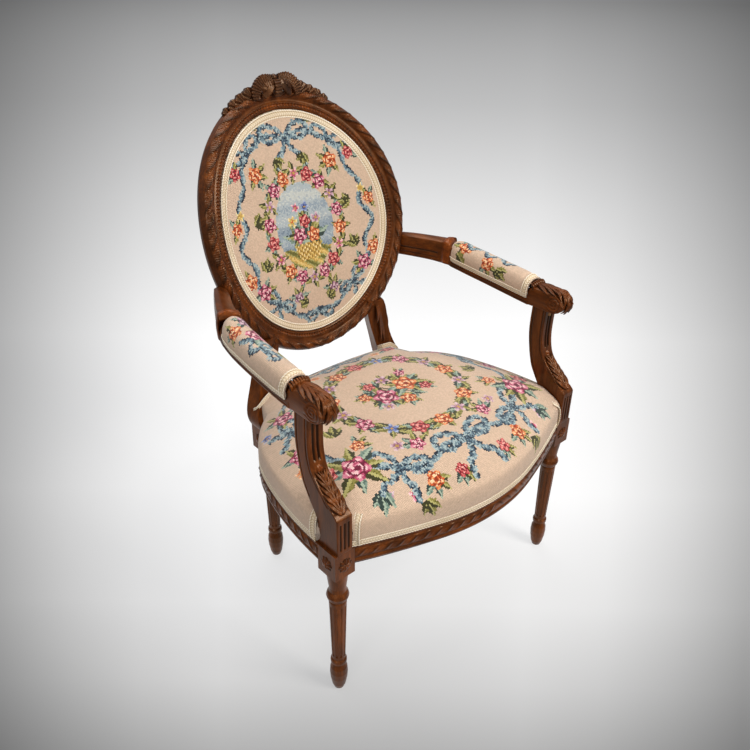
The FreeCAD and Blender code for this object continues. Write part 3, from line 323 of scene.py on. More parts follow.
WALNUT_TONES = ((40, 18, 6), (90, 44, 14), (136, 72, 25))
walnut_up = wood("walnut_upright", (9, 9, 1), *WALNUT_TONES)
walnut_side = wood("walnut_sideways", (1, 9, 9), *WALNUT_TONES)
walnut_deep = wood("walnut_front_to_back", (9, 1, 9), *WALNUT_TONES)
walnut_carved = wood("walnut_carved", (4, 4, 2.5), (36, 16, 6), (84, 41, 14), (130, 70, 26))
walnut_dark = wood("walnut_dark", (4, 4, 2.5), (26, 13, 7), (58, 31, 16), (92, 54, 28))
beech = wood("beech", (2, 9, 9), (150, 106, 66), (182, 136, 92), (205, 164, 120), 0.45, 0.65)


def cloth(name, thread, dark, light):
    """Plain woven cloth: crossing threads, with painted shade between them, and slight colour change in
    patches.
    """
    nodes = Nodes(name)
    place = nodes.add("ShaderNodeTexCoord")
    waves = []
    for direction in ("X", "Y", "Z"):
        wave = nodes.add("ShaderNodeTexWave", wave_type="BANDS", bands_direction=direction)
        wave.inputs["Scale"].default_value = thread
        wave.inputs["Distortion"].default_value = 0.6
        wave.inputs["Detail Scale"].default_value = 3.0
        nodes.link(place.outputs["Object"], wave.inputs["Vector"])
        waves.append(wave.outputs["Fac"])
    height = nodes.math("MULTIPLY", nodes.math("ADD", nodes.math("ADD", waves[0], waves[1]), waves[2]), 0.333)
    spots = nodes.noise(14.0, 5.0)
    # Painted shade: the threads' height darkens the tone between them; the spots add random tone.
    tone = nodes.math("ADD", nodes.math("MULTIPLY", height, 0.55), nodes.math("MULTIPLY", spots, 0.45))
    base = nodes.ramp(tone, [(0.3, colour(*dark)), (0.68, colour(*light))])
    nodes.link(base, nodes.shader.inputs["Base Color"])
    nodes.set(Roughness=0.92, Sheen_Weight=0.25, Specular_IOR_Level=0.2)
    nodes.bump(height, 0.6, 0.0004)
    return nodes.material


jute = cloth("jute_webbing", 260, (120, 92, 56), (176, 146, 100))
hessian = cloth("hessian", 420, (134, 108, 70), (188, 162, 118))
cambric = cloth("black_cambric", 620, (22, 21, 21), (46, 44, 43))
back_cloth = cloth("outside_cloth", 520, (168, 140, 112), (206, 180, 150))
hair = cloth("horsehair", 300, (40, 32, 26), (74, 60, 48))


def braid():
    """Cream gimp: corded edges, a woven middle, and painted shade in the gaps between the threads."""
    nodes = Nodes("gimp_braid")
    thread = nodes.noise(900.0, 2.0)
    spots = nodes.noise(11.0, 3.0)
    # Painted shade: the braid's height from braid_part sets its tone, darker where it is low, paler where it
    # is raised.
    level = nodes.math("ADD", nodes.attribute("relief"), nodes.math("MULTIPLY", thread, 0.22))
    tone = nodes.ramp(
        level, [(0.2, colour(188, 162, 128)), (0.5, colour(230, 212, 182)), (0.8, colour(252, 244, 228))]
    )
    worn = nodes.ramp(spots, [(0.35, (0.86, 0.83, 0.78, 1)), (0.65, (1, 1, 1, 1))])
    nodes.link(nodes.mix(1.0, tone, worn, "MULTIPLY"), nodes.shader.inputs["Base Color"])
    nodes.set(Roughness=0.85, Sheen_Weight=0.3, Specular_IOR_Level=0.25)
    nodes.bump(thread, 0.5, 0.0003)
    return nodes.material


braid_cloth = braid()


def steel():
    nodes = Nodes("drawn_steel")
    marks = nodes.noise(160.0, 3.0)
    nodes.link(
        nodes.ramp(marks, [(0.35, (0.18, 0.17, 0.16, 1)), (0.7, (0.42, 0.41, 0.4, 1))]),
        nodes.shader.inputs["Base Color"],
    )
    nodes.set(Metallic=1.0, Roughness=0.38)
    nodes.bump(marks, 0.2, 0.0002)
    return nodes.material


iron = steel()


def needlepoint():
    """Wool stitches on canvas. The design is in the stitches' own colours, one to each face."""
    nodes = Nodes("needlepoint_wool")
    design = nodes.add("ShaderNodeAttribute", attribute_name="design")
    uv = nodes.add("ShaderNodeUVMap", uv_map="stitches")
    cell = nodes.add("ShaderNodeVectorMath", operation="FRACTION")
    nodes.link(uv.outputs[0], cell.inputs[0])
    whole = nodes.add("ShaderNodeVectorMath", operation="FLOOR")
    nodes.link(uv.outputs[0], whole.inputs[0])
    parts = nodes.add("ShaderNodeSeparateXYZ")
    nodes.link(cell.outputs[0], parts.inputs[0])
    chance = nodes.add("ShaderNodeTexWhiteNoise", noise_dimensions="2D")
    nodes.link(whole.outputs[0], chance.inputs["Vector"])
    slant = nodes.math("SUBTRACT", parts.outputs[0], parts.outputs[1])
    spread = nodes.math("ABSOLUTE", slant)
    thread = nodes.math("SUBTRACT", 1.0, nodes.math("MULTIPLY", spread, 1.35), clamp=True)
    centre = nodes.math("ADD", parts.outputs[0], parts.outputs[1])
    ends = nodes.math("SUBTRACT", 1.0, nodes.math("ABSOLUTE", nodes.math("SUBTRACT", centre, 1.0)))
    height = nodes.math("MULTIPLY", nodes.math("POWER", thread, 0.6), nodes.math("POWER", ends, 0.4))
    # Painted shade on each stitch: lighter on its raised middle, darker at its ends and sides where stitches
    # meet.
    shade = nodes.math("ADD", nodes.math("MULTIPLY", height, 0.34), 0.78)
    tint = nodes.math("ADD", nodes.math("MULTIPLY", chance.outputs[0], 0.16), 0.92)
    tone = nodes.math("MULTIPLY", shade, tint)
    wear = nodes.noise(7.0, 4.0)
    worn = nodes.math("ADD", nodes.math("MULTIPLY", wear, 0.22), 0.89)
    both = nodes.math("MULTIPLY", tone, worn)
    grey = nodes.add("ShaderNodeCombineColor")
    for socket in grey.inputs[:3]:
        nodes.link(both, socket)
    base = nodes.mix(1.0, design.outputs["Color"], grey.outputs[0], "MULTIPLY")
    nodes.link(base, nodes.shader.inputs["Base Color"])
    nodes.set(Roughness=0.95, Sheen_Weight=0.3, Sheen_Roughness=0.5, Specular_IOR_Level=0.15)
    nodes.bump(height, 0.7, 0.0008)
    return nodes.material


wool = needlepoint()

# The wool of the ground, and the other wools from dark to pale
GROUND = (205, 176, 150)
OLIVE = [(58, 56, 24), (98, 94, 38), (136, 128, 62), (176, 168, 104)]
SAGE = [(48, 62, 56), (86, 106, 94), (122, 142, 126), (160, 174, 152)]
NAVY = [(30, 38, 50), (64, 84, 98), (112, 134, 142), (164, 178, 176)]
PINK = [(108, 20, 48), (172, 60, 92), (212, 128, 146), (234, 190, 188)]
ORANGE = [(146, 50, 18), (200, 90, 44), (226, 146, 92), (240, 200, 156)]
MAUVE = [(92, 46, 68), (146, 94, 116), (186, 144, 160), (214, 186, 190)]
RED = [(116, 16, 28), (170, 46, 52), (204, 100, 96), (228, 156, 144)]
YELLOW = [(146, 108, 36), (190, 150, 70), (218, 186, 112), (236, 216, 160)]
BLUE = [(38, 50, 104), (72, 88, 148), (118, 132, 176), (170, 180, 204)]


class Canvas:
    """The stitches of one piece of needlepoint: their middles in millimetres, and their colours."""

    def __init__(self, x, y):
        self.x, self.y = x, y
        self.rough = random_of(np.round(x / STITCH), np.round(y / STITCH))
        self.colours = np.array([colour(*GROUND)[:3]] * len(x))

    def paint(self, mask, tone, palette):
        """Colours the masked stitches; tone is 0 for the palette's darkest to 1 for its palest."""
        shades = np.array([colour(*shade)[:3] for shade in palette])
        jitter = (self.rough[mask] - 0.5) * 0.22
        step = np.clip((tone[mask] + jitter) * len(shades), 0, len(shades) - 1).astype(int)
        self.colours[mask] = shades[step]


def rose(canvas, x, y, radius, palette, turn=0.0):
    """An open rose: scalloped outer petals, a curled ring inside them and a dark heart."""
    dx, dy = (canvas.x - x) / radius, (canvas.y - y) / radius
    away, angle = np.hypot(dx, dy), np.arctan2(dy, dx) + turn
    edge = 1.0 + 0.13 * np.cos(5 * angle)
    mask = away < edge
    petal = np.cos(5 * angle)
    outer = 0.55 + 0.35 * petal - 0.25 * (away > 0.86)
    inner = 0.7 + 0.3 * np.sin(3 * angle + 2.2 * away * 3)
    tone = np.where(away > 0.58, outer, inner)
    seam = (np.abs(away - 0.6) < 0.07) | ((petal < -0.8) & (away > 0.6))
    tone = np.where(seam, 0.08, tone)
    heart = np.hypot(dx - 0.1, dy + 0.08) < 0.24
    tone = np.where(heart, 0.02, tone)
    canvas.paint(mask, np.clip(tone, 0, 0.99), palette)


def blossom(canvas, x, y, radius, palette, turn=0.0, heart=YELLOW):
    """A small flat flower with five separate petals."""
    dx, dy = (canvas.x - x) / radius, (canvas.y - y) / radius
    away, angle = np.hypot(dx, dy), np.arctan2(dy, dx) + turn
    petal = np.abs(np.cos(2.5 * angle))
    mask = away < 0.32 + 0.72 * petal
    tone = 0.25 + 0.75 * away * petal
    canvas.paint(mask, np.clip(tone, 0, 0.99), palette)
    middle = away < 0.24
    canvas.paint(middle, np.full(len(away), 0.4), heart)


def leaf(canvas, x, y, angle, length, palette=OLIVE, width=0.36):
    """A pointed leaf with a pale rib, darker on one side, that starts at x, y."""
    cosine, sine = math.cos(math.radians(angle)), math.sin(math.radians(angle))
    along = ((canvas.x - x) * cosine + (canvas.y - y) * sine) / length
    across = (-(canvas.x - x) * sine + (canvas.y - y) * cosine) / length
    inside = (along > 0) & (along < 1)
    safe = np.clip(along, 0, 1)
    half = width * np.sin(np.pi * safe**0.8) * (1 + 0.16 * np.sin(22 * safe))
    mask = inside & (np.abs(across) < half)
    tone = np.where(across > 0, 0.55, 0.12)
    tone = np.where(np.abs(across) < 0.045, 0.9, tone)
    canvas.paint(mask, tone, palette)


def spray(canvas, x, y, angle, length, palette=OLIVE, count=3, fan=38.0):
    """Leaves that fan out from one point."""
    for number in range(count):
        step = number - (count - 1) / 2
        size = length * (1 - 0.14 * abs(step))
        leaf(canvas, x, y, angle + step * fan, size, palette, 0.22 + 0.1 / count)


def posy(canvas, x, y, radius, palette, leaves=(20, 85, 150, 215, 280, 335), spread=2.1, flip=1):
    """A rose on a star of leaves."""
    for number, angle in enumerate(leaves):
        shade = OLIVE if number % 3 else SAGE
        turned_angle = angle if flip > 0 else 180 - angle
        leaf(canvas, x, y, turned_angle, radius * (spread + 0.25 * math.sin(3.0 * number)), shade, 0.2)
    rose(canvas, x, y, radius, palette, x * 0.05)


STEM_REACH = 2.0


def twin_posies(canvas, x, y, radius, palette, **extra):
    for side in (-1, 1):
        posy(canvas, side * x, y, radius, palette, flip=side, **extra)


def stem(canvas, points):
    away, _, _ = nearest(canvas, smooth_curve(points, spacing=STITCH))
    canvas.paint(away < STEM_REACH, np.full(len(away), 0.1), OLIVE)


def nearest(canvas, line):
    """Distance, side and arc length of each stitch to the nearest point of a line."""
    away = np.full(len(canvas.x), 1e9)
    side = np.zeros(len(canvas.x))
    arc = np.zeros(len(canvas.x))
    heading = unit(np.gradient(line, axis=0))
    walked = 0.0
    for index, (x, y) in enumerate(line):
        if index:
            walked += math.dist(line[index], line[index - 1])
        dx, dy = canvas.x - x, canvas.y - y
        here = np.hypot(dx, dy)
        closer = here < away
        away[closer] = here[closer]
        side[closer] = (heading[index, 0] * dy - heading[index, 1] * dx)[closer]
        arc[closer] = walked
    return away, side, arc


def ribbon(canvas, points, width, fold=34.0):
    """A shaded silk ribbon along a curve: dark on one edge, pale on the other, turning as it goes."""
    line = smooth_curve(points, spacing=STITCH * 0.7)
    away, side, arc = nearest(canvas, line)
    swell = width * (0.72 + 0.42 * np.abs(np.sin(np.pi * arc / fold)))
    ragged = (canvas.rough - 0.5) * STITCH * 0.9
    mask = away + ragged < swell / 2
    across = side / swell * 2
    turn = np.where(np.sin(np.pi * arc / fold) > 0, 1.0, -1.0)
    streak = 0.12 * np.sign(np.sin(arc * 0.9 + across * 2.0))
    tone = 0.62 + 0.3 * across * turn + streak + 0.25 * (canvas.rough - 0.5)
    tone = np.where(across * turn < -0.45, 0.1 + 0.3 * canvas.rough, tone)
    canvas.paint(mask, np.clip(tone, 0, 0.99), NAVY)


def turned(points, x, y, size, angle, flip=1):
    """Points of a unit drawing, turned, sized and moved."""
    cosine, sine = math.cos(math.radians(angle)), math.sin(math.radians(angle))
    points = np.asarray(points, float) * [flip, 1]
    rotated = np.stack(
        [points[:, 0] * cosine - points[:, 1] * sine, points[:, 0] * sine + points[:, 1] * cosine], axis=1
    )
    return rotated * size + [x, y]


BOW_LOOP = [(0.0, 0.0), (0.35, 0.42), (0.85, 0.55), (1.05, 0.25), (0.75, -0.02), (0.3, 0.05), (0.0, 0.0)]
BOW_TAIL = [(0.0, 0.0), (0.25, -0.45), (0.5, -0.6), (0.62, -0.95)]


def bow(canvas, x, y, size, angle, width, tails=True):
    """A tied bow: two loops, a knot and two tails."""
    for flip in (-1, 1):
        if tails:
            ribbon(canvas, turned(BOW_TAIL, x, y, size, angle, flip), width, 14.0)
        ribbon(canvas, turned(BOW_LOOP, x, y, size, angle, flip), width, 16.0)
    knot = np.hypot(canvas.x - x, canvas.y - y) < width * 0.6
    canvas.paint(knot, 0.2 + 0.3 * canvas.rough, NAVY)


def mirrored(draw, canvas, x, y, angle=None, **extra):
    """Draws a motif on both sides of the middle."""
    for side in (-1, 1):
        if angle is None:
            draw(canvas, side * x, y, **extra)
        else:
            draw(canvas, side * x, y, angle if side > 0 else 180 - angle, **extra)


# The seat's outline: arcs walked from the front's middle to the back's middle on the right

BACK_RAIL_RADIUS = 1100


def walk(start, heading, radius, turn, count=80):
    """Points of a left-hand arc, its end and its heading there."""
    across = np.array([-math.sin(math.radians(heading)), math.cos(math.radians(heading))])
    centre = np.array(start) + across * radius
    spokes = np.radians(heading + np.linspace(0, turn, count))
    points = centre + np.stack([np.sin(spokes), -np.cos(spokes)], axis=1) * radius
    return points, points[-1], heading + turn


def front_face():
    middle, end, heading = walk((0, SEAT_FRONT_Y), 0, 420, 16.6)
    outer, _, _ = walk(end, heading, 1500, 7.3)
    return np.vstack([middle, outer[1:]])


def side_face():
    first, end, heading = walk((SEAT_HALF_WIDTH, FRONT_LEG_Y + 10), 90, 760, 16.6)
    second, _, _ = walk(end, heading, 214, 40)
    return np.vstack([first, second[1:]])


def back_face():
    x = np.linspace(REAR_LEG_X, 0, 60)
    y = SEAT_BACK_Y - (BACK_RAIL_RADIUS - np.sqrt(BACK_RAIL_RADIUS**2 - x**2))
    return np.stack([x, y], axis=1)


def seat_outline():
    """Closed outline of the seat's rails, from the front's middle round by the right."""
    front, side, back = front_face(), side_face(), back_face()
    corner = (side[-1] + back[0]) / 2 + [-3, 4]
    right = np.vstack([front, side, [corner], back])
    left = right[::-1][1:-1] * [-1, 1]
    return np.vstack([right, left])


OUTLINE = seat_outline()
PIVOT = np.array([0.0, SEAT_MID_Y])


def outline_reach(angles):
    """Distance from the pivot to the seat's outline in each direction."""
    spokes = OUTLINE - PIVOT
    around = np.unwrap(np.arctan2(spokes[:, 1], spokes[:, 0]))
    reach = np.hypot(*spokes.T)
    start = around[0]
    around = np.append(around, start + 2 * np.pi)
    reach = np.append(reach, reach[0])
    return np.interp((angles - start) % (2 * np.pi) + start, around, reach)


# The cushion's flank, from its shoulder down: inset from the outline and height
FLANK = smooth_curve(
    [(7, CUSHION_EDGE_Z), (2.5, CUSHION_EDGE_Z - 5), (0, CUSHION_EDGE_Z - 15),
     (-1, 372), (1, 360), (3.2, 352.4)],
    spacing=1.0,
)
FLANK_ARC = np.concatenate([[0], np.cumsum(np.hypot(*np.diff(FLANK, axis=0).T))])
FLAT_INSET, CROWN_POWER = 226.0, 2.6


def seat_surface(x, y):
    """Where a point of the flat canvas lies once it is pulled over the cushion, and how far down a flank."""
    spokes = np.stack([x, y], axis=-1) - PIVOT
    angles = np.arctan2(spokes[..., 1], spokes[..., 0])
    away = np.hypot(spokes[..., 0], spokes[..., 1])
    reach = outline_reach(angles)
    shoulder = reach * (1 - FLANK[0, 0] / SEAT_HALF_WIDTH)
    over = np.maximum(away - shoulder, 0)
    flank_inset = np.interp(over, FLANK_ARC, FLANK[:, 0])
    flank_z = np.interp(over, FLANK_ARC, FLANK[:, 1])
    inset = (1 - away / reach) * SEAT_HALF_WIDTH
    share = np.clip((inset - FLANK[0, 0]) / (FLAT_INSET - FLANK[0, 0]), 0, 1)
    crown_z = CUSHION_EDGE_Z + (CUSHION_TOP_Z - CUSHION_EDGE_Z) * (1 - (1 - share) ** CROWN_POWER)
    on_flank = over > 0
    distance = np.where(on_flank, reach * (1 - flank_inset / SEAT_HALF_WIDTH), away)
    z = np.where(on_flank, flank_z, crown_z)
    flat = PIVOT + np.stack([np.cos(angles), np.sin(angles)], axis=-1) * distance[..., None]
    return np.concatenate([flat, z[..., None]], axis=-1), over


def stitched_piece(name, x_range, y_range, surface, keep, design, filled=False):
    """A sheet of needlepoint: a grid of stitches laid on surface(x, y), trimmed to keep(points)."""
    columns = int((x_range[1] - x_range[0]) / STITCH) + 1
    rows = int((y_range[1] - y_range[0]) / STITCH) + 1
    xs = x_range[0] + np.arange(columns) * STITCH
    ys = y_range[0] + np.arange(rows) * STITCH
    grid_x, grid_y = np.meshgrid(xs, ys)
    points = surface(grid_x, grid_y).reshape(-1, 3)
    quads = grid_faces(rows, columns)
    flat = np.stack([grid_x.ravel(), grid_y.ravel()], axis=1)
    middle = flat[quads].mean(axis=1)
    chosen = keep(middle[:, 0], middle[:, 1])
    quads, middle = quads[chosen], middle[chosen]
    used, packed = np.unique(quads, return_inverse=True)
    quads = packed.reshape(quads.shape)
    canvas = Canvas(middle[:, 0], middle[:, 1])
    design(canvas)
    piece = add_mesh(name, points[used], [quads], wool)
    mesh = piece.data
    shades = np.concatenate([canvas.colours, np.ones((len(middle), 1))], axis=1)
    layer = mesh.color_attributes.new("design", "FLOAT_COLOR", "CORNER")
    layer.data.foreach_set("color", np.repeat(shades, 4, axis=0).astype(np.float32).ravel())
    uv = mesh.uv_layers.new(name="stitches")
    cells = flat[used] / STITCH
    corner = [x_range[0] / STITCH, y_range[0] / STITCH]
    loops = np.zeros(len(mesh.loops), np.int32)
    mesh.loops.foreach_get("vertex_index", loops)
    uv.data.foreach_set("uv", (cells[loops] - corner).astype(np.float32).ravel())
    if filled:
        shape = bmesh.new()
        shape.from_mesh(mesh)
        edges = [edge for edge in shape.edges if edge.is_boundary]
        bmesh.ops.holes_fill(shape, edges=edges, sides=0)
        shape.to_mesh(mesh)
        shape.free()
    else:
        solid = piece.modifiers.new("cloth", "SOLIDIFY")
        solid.thickness = CLOTH_THICKNESS * MM
        solid.offset = -1
    return piece


def seat_design(canvas):
    """A bouquet in a round garland, framed by a blue ribbon tied in bows and by roses."""
    frame_line = [(0, -252), (44, -244), (92, -256), (146, -236), (196, -190), (232, -128), (216, -66),
                  (232, 0), (196, 56), (150, 86), (96, 122), (46, 116), (0, 134)]
    for side in (-1, 1):
        ribbon(canvas, np.array(frame_line) * [side, 1], 12.5)
    for side in (-1, 1):
        posy(canvas, side * 56, -296, 12, RED, (250, 290, 330, 210), 2.4)
        posy(canvas, side * 112, -284, 15, ORANGE, (250, 300, 340, 200), 2.2)
        blossom(canvas, side * 206, -262, 16, MAUVE)
        spray(canvas, side * 206, -250, 270 + side * 30, 38, SAGE)
        spray(canvas, side * 146, -300, 260, 36, OLIVE)
        blossom(canvas, side * 160, -284, 11, PINK, heart=YELLOW)
    bow(canvas, 0, -256, 62, 0, 14.0)
    bow(canvas, 0, 126, 46, 180, 12.0)
    for side in (-1, 1):
        bow(canvas, side * 152, -236, 50, side * 40, 13.0)
        bow(canvas, side * 226, -22, 38, side * 95, 12.0)
    garland = 16
    kinds = [(rose, ORANGE), (blossom, MAUVE), (rose, PINK), (blossom, BLUE), (rose, RED), (rose, ORANGE),
             (blossom, MAUVE)]
    garland_leaves = ((70, 40, SAGE), (108, 36, OLIVE), (-75, 38, OLIVE), (-115, 34, SAGE), (10, 32, OLIVE))
    for number in range(garland):
        angle = 2 * math.pi * number / garland
        x, y = 136 * math.cos(angle), -62 + 130 * math.sin(angle)
        degrees = math.degrees(angle)
        for step, length, green in garland_leaves:
            leaf(canvas, x, y, degrees + step, length, green if number % 2 else OLIVE, 0.24)
        draw, palette = kinds[number % len(kinds)]
        draw(canvas, x, y, 17 if draw is rose else 15, palette, turn=angle)
    for angle, length in ((12, 74), (48, 62), (84, 66), (122, 62), (158, 74), (198, 70), (236, 56), (272, 60),
                          (308, 58), (344, 70)):
        radians = math.radians(angle)
        stem(canvas, [(0, -58), (length * math.cos(radians), -58 + 0.82 * length * math.sin(radians))])
        tip_x, tip_y = 0.62 * length * math.cos(radians), -58 + 0.5 * length * math.sin(radians)
        spray(canvas, tip_x, tip_y, angle, 34, SAGE if angle % 3 else OLIVE, 3, 46)
    posy(canvas, -30, -66, 24, PINK)
    posy(canvas, 32, -52, 23, ORANGE)
    posy(canvas, 2, -98, 15, ORANGE, (250, 300, 200))
    posy(canvas, 60, -84, 12, RED, (300, 350, 20))
    posy(canvas, -66, -44, 12, ORANGE, (120, 170, 220))
    blossom(canvas, -50, -96, 13, MAUVE)
    blossom(canvas, 4, -14, 15, MAUVE, turn=0.6)
    posy(canvas, -34, -18, 12, RED, (90, 130, 170))
    posy(canvas, 52, -14, 11, PINK, (30, 80))
    twin_posies(canvas, 214, -190, 25, PINK, leaves=(20, 60, 110, 160, 200, 240, 290, 330), spread=2.3)
    twin_posies(canvas, 258, -166, 17, RED, leaves=(30, 90, 330), spread=2.2)
    twin_posies(canvas, 88, -214, 14, PINK, leaves=(60, 110, 160, 20), spread=2.4)
    twin_posies(canvas, 176, -150, 13, ORANGE, leaves=(110, 160, 210), spread=2.4)
    mirrored(blossom, canvas, 122, -196, radius=13, palette=MAUVE)
    mirrored(spray, canvas, 190, -100, 120, length=36)
    twin_posies(canvas, 254, -84, 17, PINK, leaves=(20, 80, 140, 300), spread=2.2)
    mirrored(blossom, canvas, 276, -118, radius=12, palette=ORANGE)
    twin_posies(canvas, 208, 34, 18, PINK, leaves=(20, 70, 120, 170, 300), spread=2.2)
    mirrored(blossom, canvas, 172, 44, radius=13, palette=MAUVE)
    twin_posies(canvas, 124, 100, 16, RED, leaves=(40, 90, 140, 200), spread=2.2)
    mirrored(blossom, canvas, 82, 96, radius=13, palette=ORANGE)
    mirrored(spray, canvas, 58, 140, 120, length=34, palette=SAGE)
    mirrored(blossom, canvas, 256, 20, radius=11, palette=BLUE)


POST_GAP = 1.5
FOOT_FRONT, FOOT_BACK = -263.5, -211.5


def beside_post(x, y):
    """Whether a plan point is inside the room that an arm support takes out of the cushion."""
    inner = POST_X - POST_WIDTH / 2 - POST_GAP
    return (np.abs(x) > inner) & (y < FOOT_BACK + POST_GAP)


def seat_keep(x, y):
    points, over = seat_surface(x, y)
    return (over < FLANK_ARC[-1] + STITCH * 0.6) & ~beside_post(points[:, 0], points[:, 1])


seat_cover = stitched_piece(
    "seat_needlepoint", (-380, 380), (-400, 240), lambda x, y: seat_surface(x, y)[0],
    seat_keep, seat_design, True,
)
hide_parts("seat_cover", "seat_stuffing")

# The oval back's own axes: u to the side, v up the slope, w towards the sitter

LEAN = math.radians(OVAL_LEAN)
AXIS_U = np.array([1.0, 0.0, 0.0])
AXIS_V = np.array([0.0, math.sin(LEAN), math.cos(LEAN)])
AXIS_W = np.array([0.0, -math.cos(LEAN), math.sin(LEAN)])
OVAL_CENTRE = np.array([0.0, OVAL_Y, OVAL_Z])


def oval_world(u, v, w):
    u, v, w = np.broadcast_arrays(u, v, w)
    return OVAL_CENTRE + u[..., None] * AXIS_U + v[..., None] * AXIS_V + w[..., None] * AXIS_W


def bow_height(u):
    return BOW_RADIUS - np.sqrt(BOW_RADIUS**2 - np.asarray(u, float) ** 2)


def oval_share(u, v):
    return np.hypot(u / HALF_U, v / HALF_V)


def back_surface(u, v):
    share = oval_share(u, v)
    pulled = np.where(share > 1, 1 / np.maximum(share, 1e-6), 1.0)
    u, v = u * pulled, v * pulled
    share = np.minimum(share, 1)
    crown = BACK_CROWN * (1 - share**2.6) + 1.5
    return oval_world(u, v, bow_height(u) + crown)


def back_design(canvas):
    """A waving blue ribbon frame with bows, an oval wreath of roses and a basket of flowers in it."""
    side_line = [(0, 166), (40, 180), (84, 160), (118, 128), (126, 92), (150, 56), (142, 16), (166, -22),
                 (140, -62), (142, -100), (118, -134), (86, -150), (56, -180), (26, -188), (0, -182)]
    for side in (-1, 1):
        posy(canvas, side * 66, 196, 4, OLIVE, (150, 190, 20), 6.5)
        ribbon(canvas, np.array(side_line) * [side, 1], 11.0)
    for side in (-1, 1):
        bow(canvas, side * 98, 152, 38, side * -30, 10.0, tails=False)
        bow(canvas, side * 98, -148, 34, side * 40, 10.0)
    bow(canvas, 0, 168, 54, 0, 11.5)
    bow(canvas, 0, -184, 32, 180, 9.5, tails=False)
    sky = np.hypot(canvas.x / 70, (canvas.y + 6) / 88) < 1
    drift = 0.12 * np.sin(canvas.y / 7 + 0.4 * np.sin(canvas.x / 23))
    canvas.paint(sky, 0.4 + drift + canvas.y * 0.003, [
        (112, 128, 142), (142, 154, 162), (168, 176, 178), (192, 194, 186), (206, 204, 190)])
    ground = sky & (canvas.y < -50 + 5 * np.sin(canvas.x / 11))
    canvas.paint(ground, 0.5 + 0.4 * np.sin(canvas.x / 6 + canvas.y / 4), OLIVE[1:] + YELLOW[1:3])
    wreath = 18
    kinds = [(rose, PINK), (blossom, MAUVE), (rose, PINK), (rose, RED), (blossom, PINK), (rose, ORANGE)]
    for number in range(wreath):
        angle = 2 * math.pi * (number + 0.5) / wreath
        u, v = 86 * math.cos(angle), -6 + 106 * math.sin(angle)
        degrees = math.degrees(angle)
        for step, length in ((72, 30), (-70, 28), (12, 28), (160, 24)):
            leaf(canvas, u, v, degrees + step, length, SAGE if number % 3 == 0 else OLIVE, 0.24)
        draw, palette = kinds[number % len(kinds)]
        draw(canvas, u, v, 14 if draw is rose else 12, palette, turn=angle)
    basket = (np.abs(canvas.x) < 26 + (canvas.y + 70) * 0.25) & (canvas.y > -76) & (canvas.y < -40)
    weave = ((np.round(canvas.x / STITCH) + 2 * np.round(canvas.y / STITCH / 2)) % 4) / 4
    canvas.paint(basket, weave, YELLOW)
    for angle in (20, 48, 76, 104, 132, 160):
        leaf(canvas, 0, -38, angle, 62, SAGE if angle % 3 else OLIVE, 0.17)
    posy(canvas, -16, -22, 15, PINK, (120, 180, 230))
    posy(canvas, 18, -26, 14, ORANGE, (0, 50, 310))
    posy(canvas, 2, 4, 13, RED, (60, 90, 120))
    blossom(canvas, -28, 8, 12, YELLOW, heart=ORANGE)
    blossom(canvas, 30, 6, 12, MAUVE)
    blossom(canvas, 8, 32, 11, BLUE)
    blossom(canvas, -14, 34, 10, PINK)
    twin_posies(canvas, 92, 112, 15, ORANGE, leaves=(100, 150, 200, 250, 300), spread=2.3)
    twin_posies(canvas, 138, 120, 12, RED, leaves=(20, 60, 110, 330), spread=2.4)
    twin_posies(canvas, 164, 20, 12, ORANGE, leaves=(60, 110, 300), spread=2.4)
    mirrored(blossom, canvas, 150, 44, radius=10, palette=YELLOW)
    mirrored(spray, canvas, 120, 22, 170, length=32, palette=OLIVE)
    mirrored(spray, canvas, 116, -74, 110, length=32)
    twin_posies(canvas, 158, -84, 15, ORANGE, leaves=(20, 70, 300), spread=2.0)
    twin_posies(canvas, 130, -112, 16, PINK, leaves=(120, 170, 220, 340), spread=2.1)
    twin_posies(canvas, 46, -146, 11, MAUVE, leaves=(20, 70, 120, 170, 250), spread=2.6)
    mirrored(spray, canvas, 26, -164, 30, length=26)
    mirrored(spray, canvas, 34, 136, 250, length=28)


def back_keep(u, v):
    return oval_share(u, v) < 0.995


back_cover = stitched_piece(
    "back_needlepoint", (-202, 202), (-226, 226), back_surface, back_keep, back_design
)
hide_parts("back_cover", "back_stuffing")


# The carved oval ring: four pieces with a row of beads and a band of laurel leaves

RING_OUTLINE = [
    (-12, -20), (-12, -6), (0, -6), (0, 1), (1.5, 3), (4, 3.4), (12, 3.4), (14, 3), (16, 1.6), (20, 2),
    (22, 4), (24.5, 7), (28, 9), (32, 9), (36, 6.5), (38.5, 3), (40, -1), (40, -14), (34, -24),
    (0, -24), (0, -20),
]
BEAD_PITCH, BEAD_RADIUS, BEAD_MIDDLE = 6.6, 3.4, 8.2
LEAF_PITCH, LEAF_START, LEAF_END = 30.0, 22.0, 39.5


def ring_rows(angles):
    """Base, outward and normal of the ring's section at each angle, and its arc length from the bottom."""
    turn = np.radians(angles)
    u, v = HALF_U * np.cos(turn), HALF_V * np.sin(turn)
    slope = u / np.sqrt(BOW_RADIUS**2 - u**2)
    one, nil = np.ones_like(u), np.zeros_like(u)
    along_u = unit(np.stack([one, nil, slope], axis=1))
    normal = unit(np.stack([-slope, nil, one], axis=1))
    outward = unit(np.stack([HALF_V * np.cos(turn), HALF_U * np.sin(turn)], axis=1))
    side = along_u * outward[:, :1] + np.array([0, 1, 0]) * outward[:, 1:]
    axes = np.stack([AXIS_U, AXIS_V, AXIS_W])
    return oval_world(u, v, bow_height(u)), side @ axes, normal @ axes


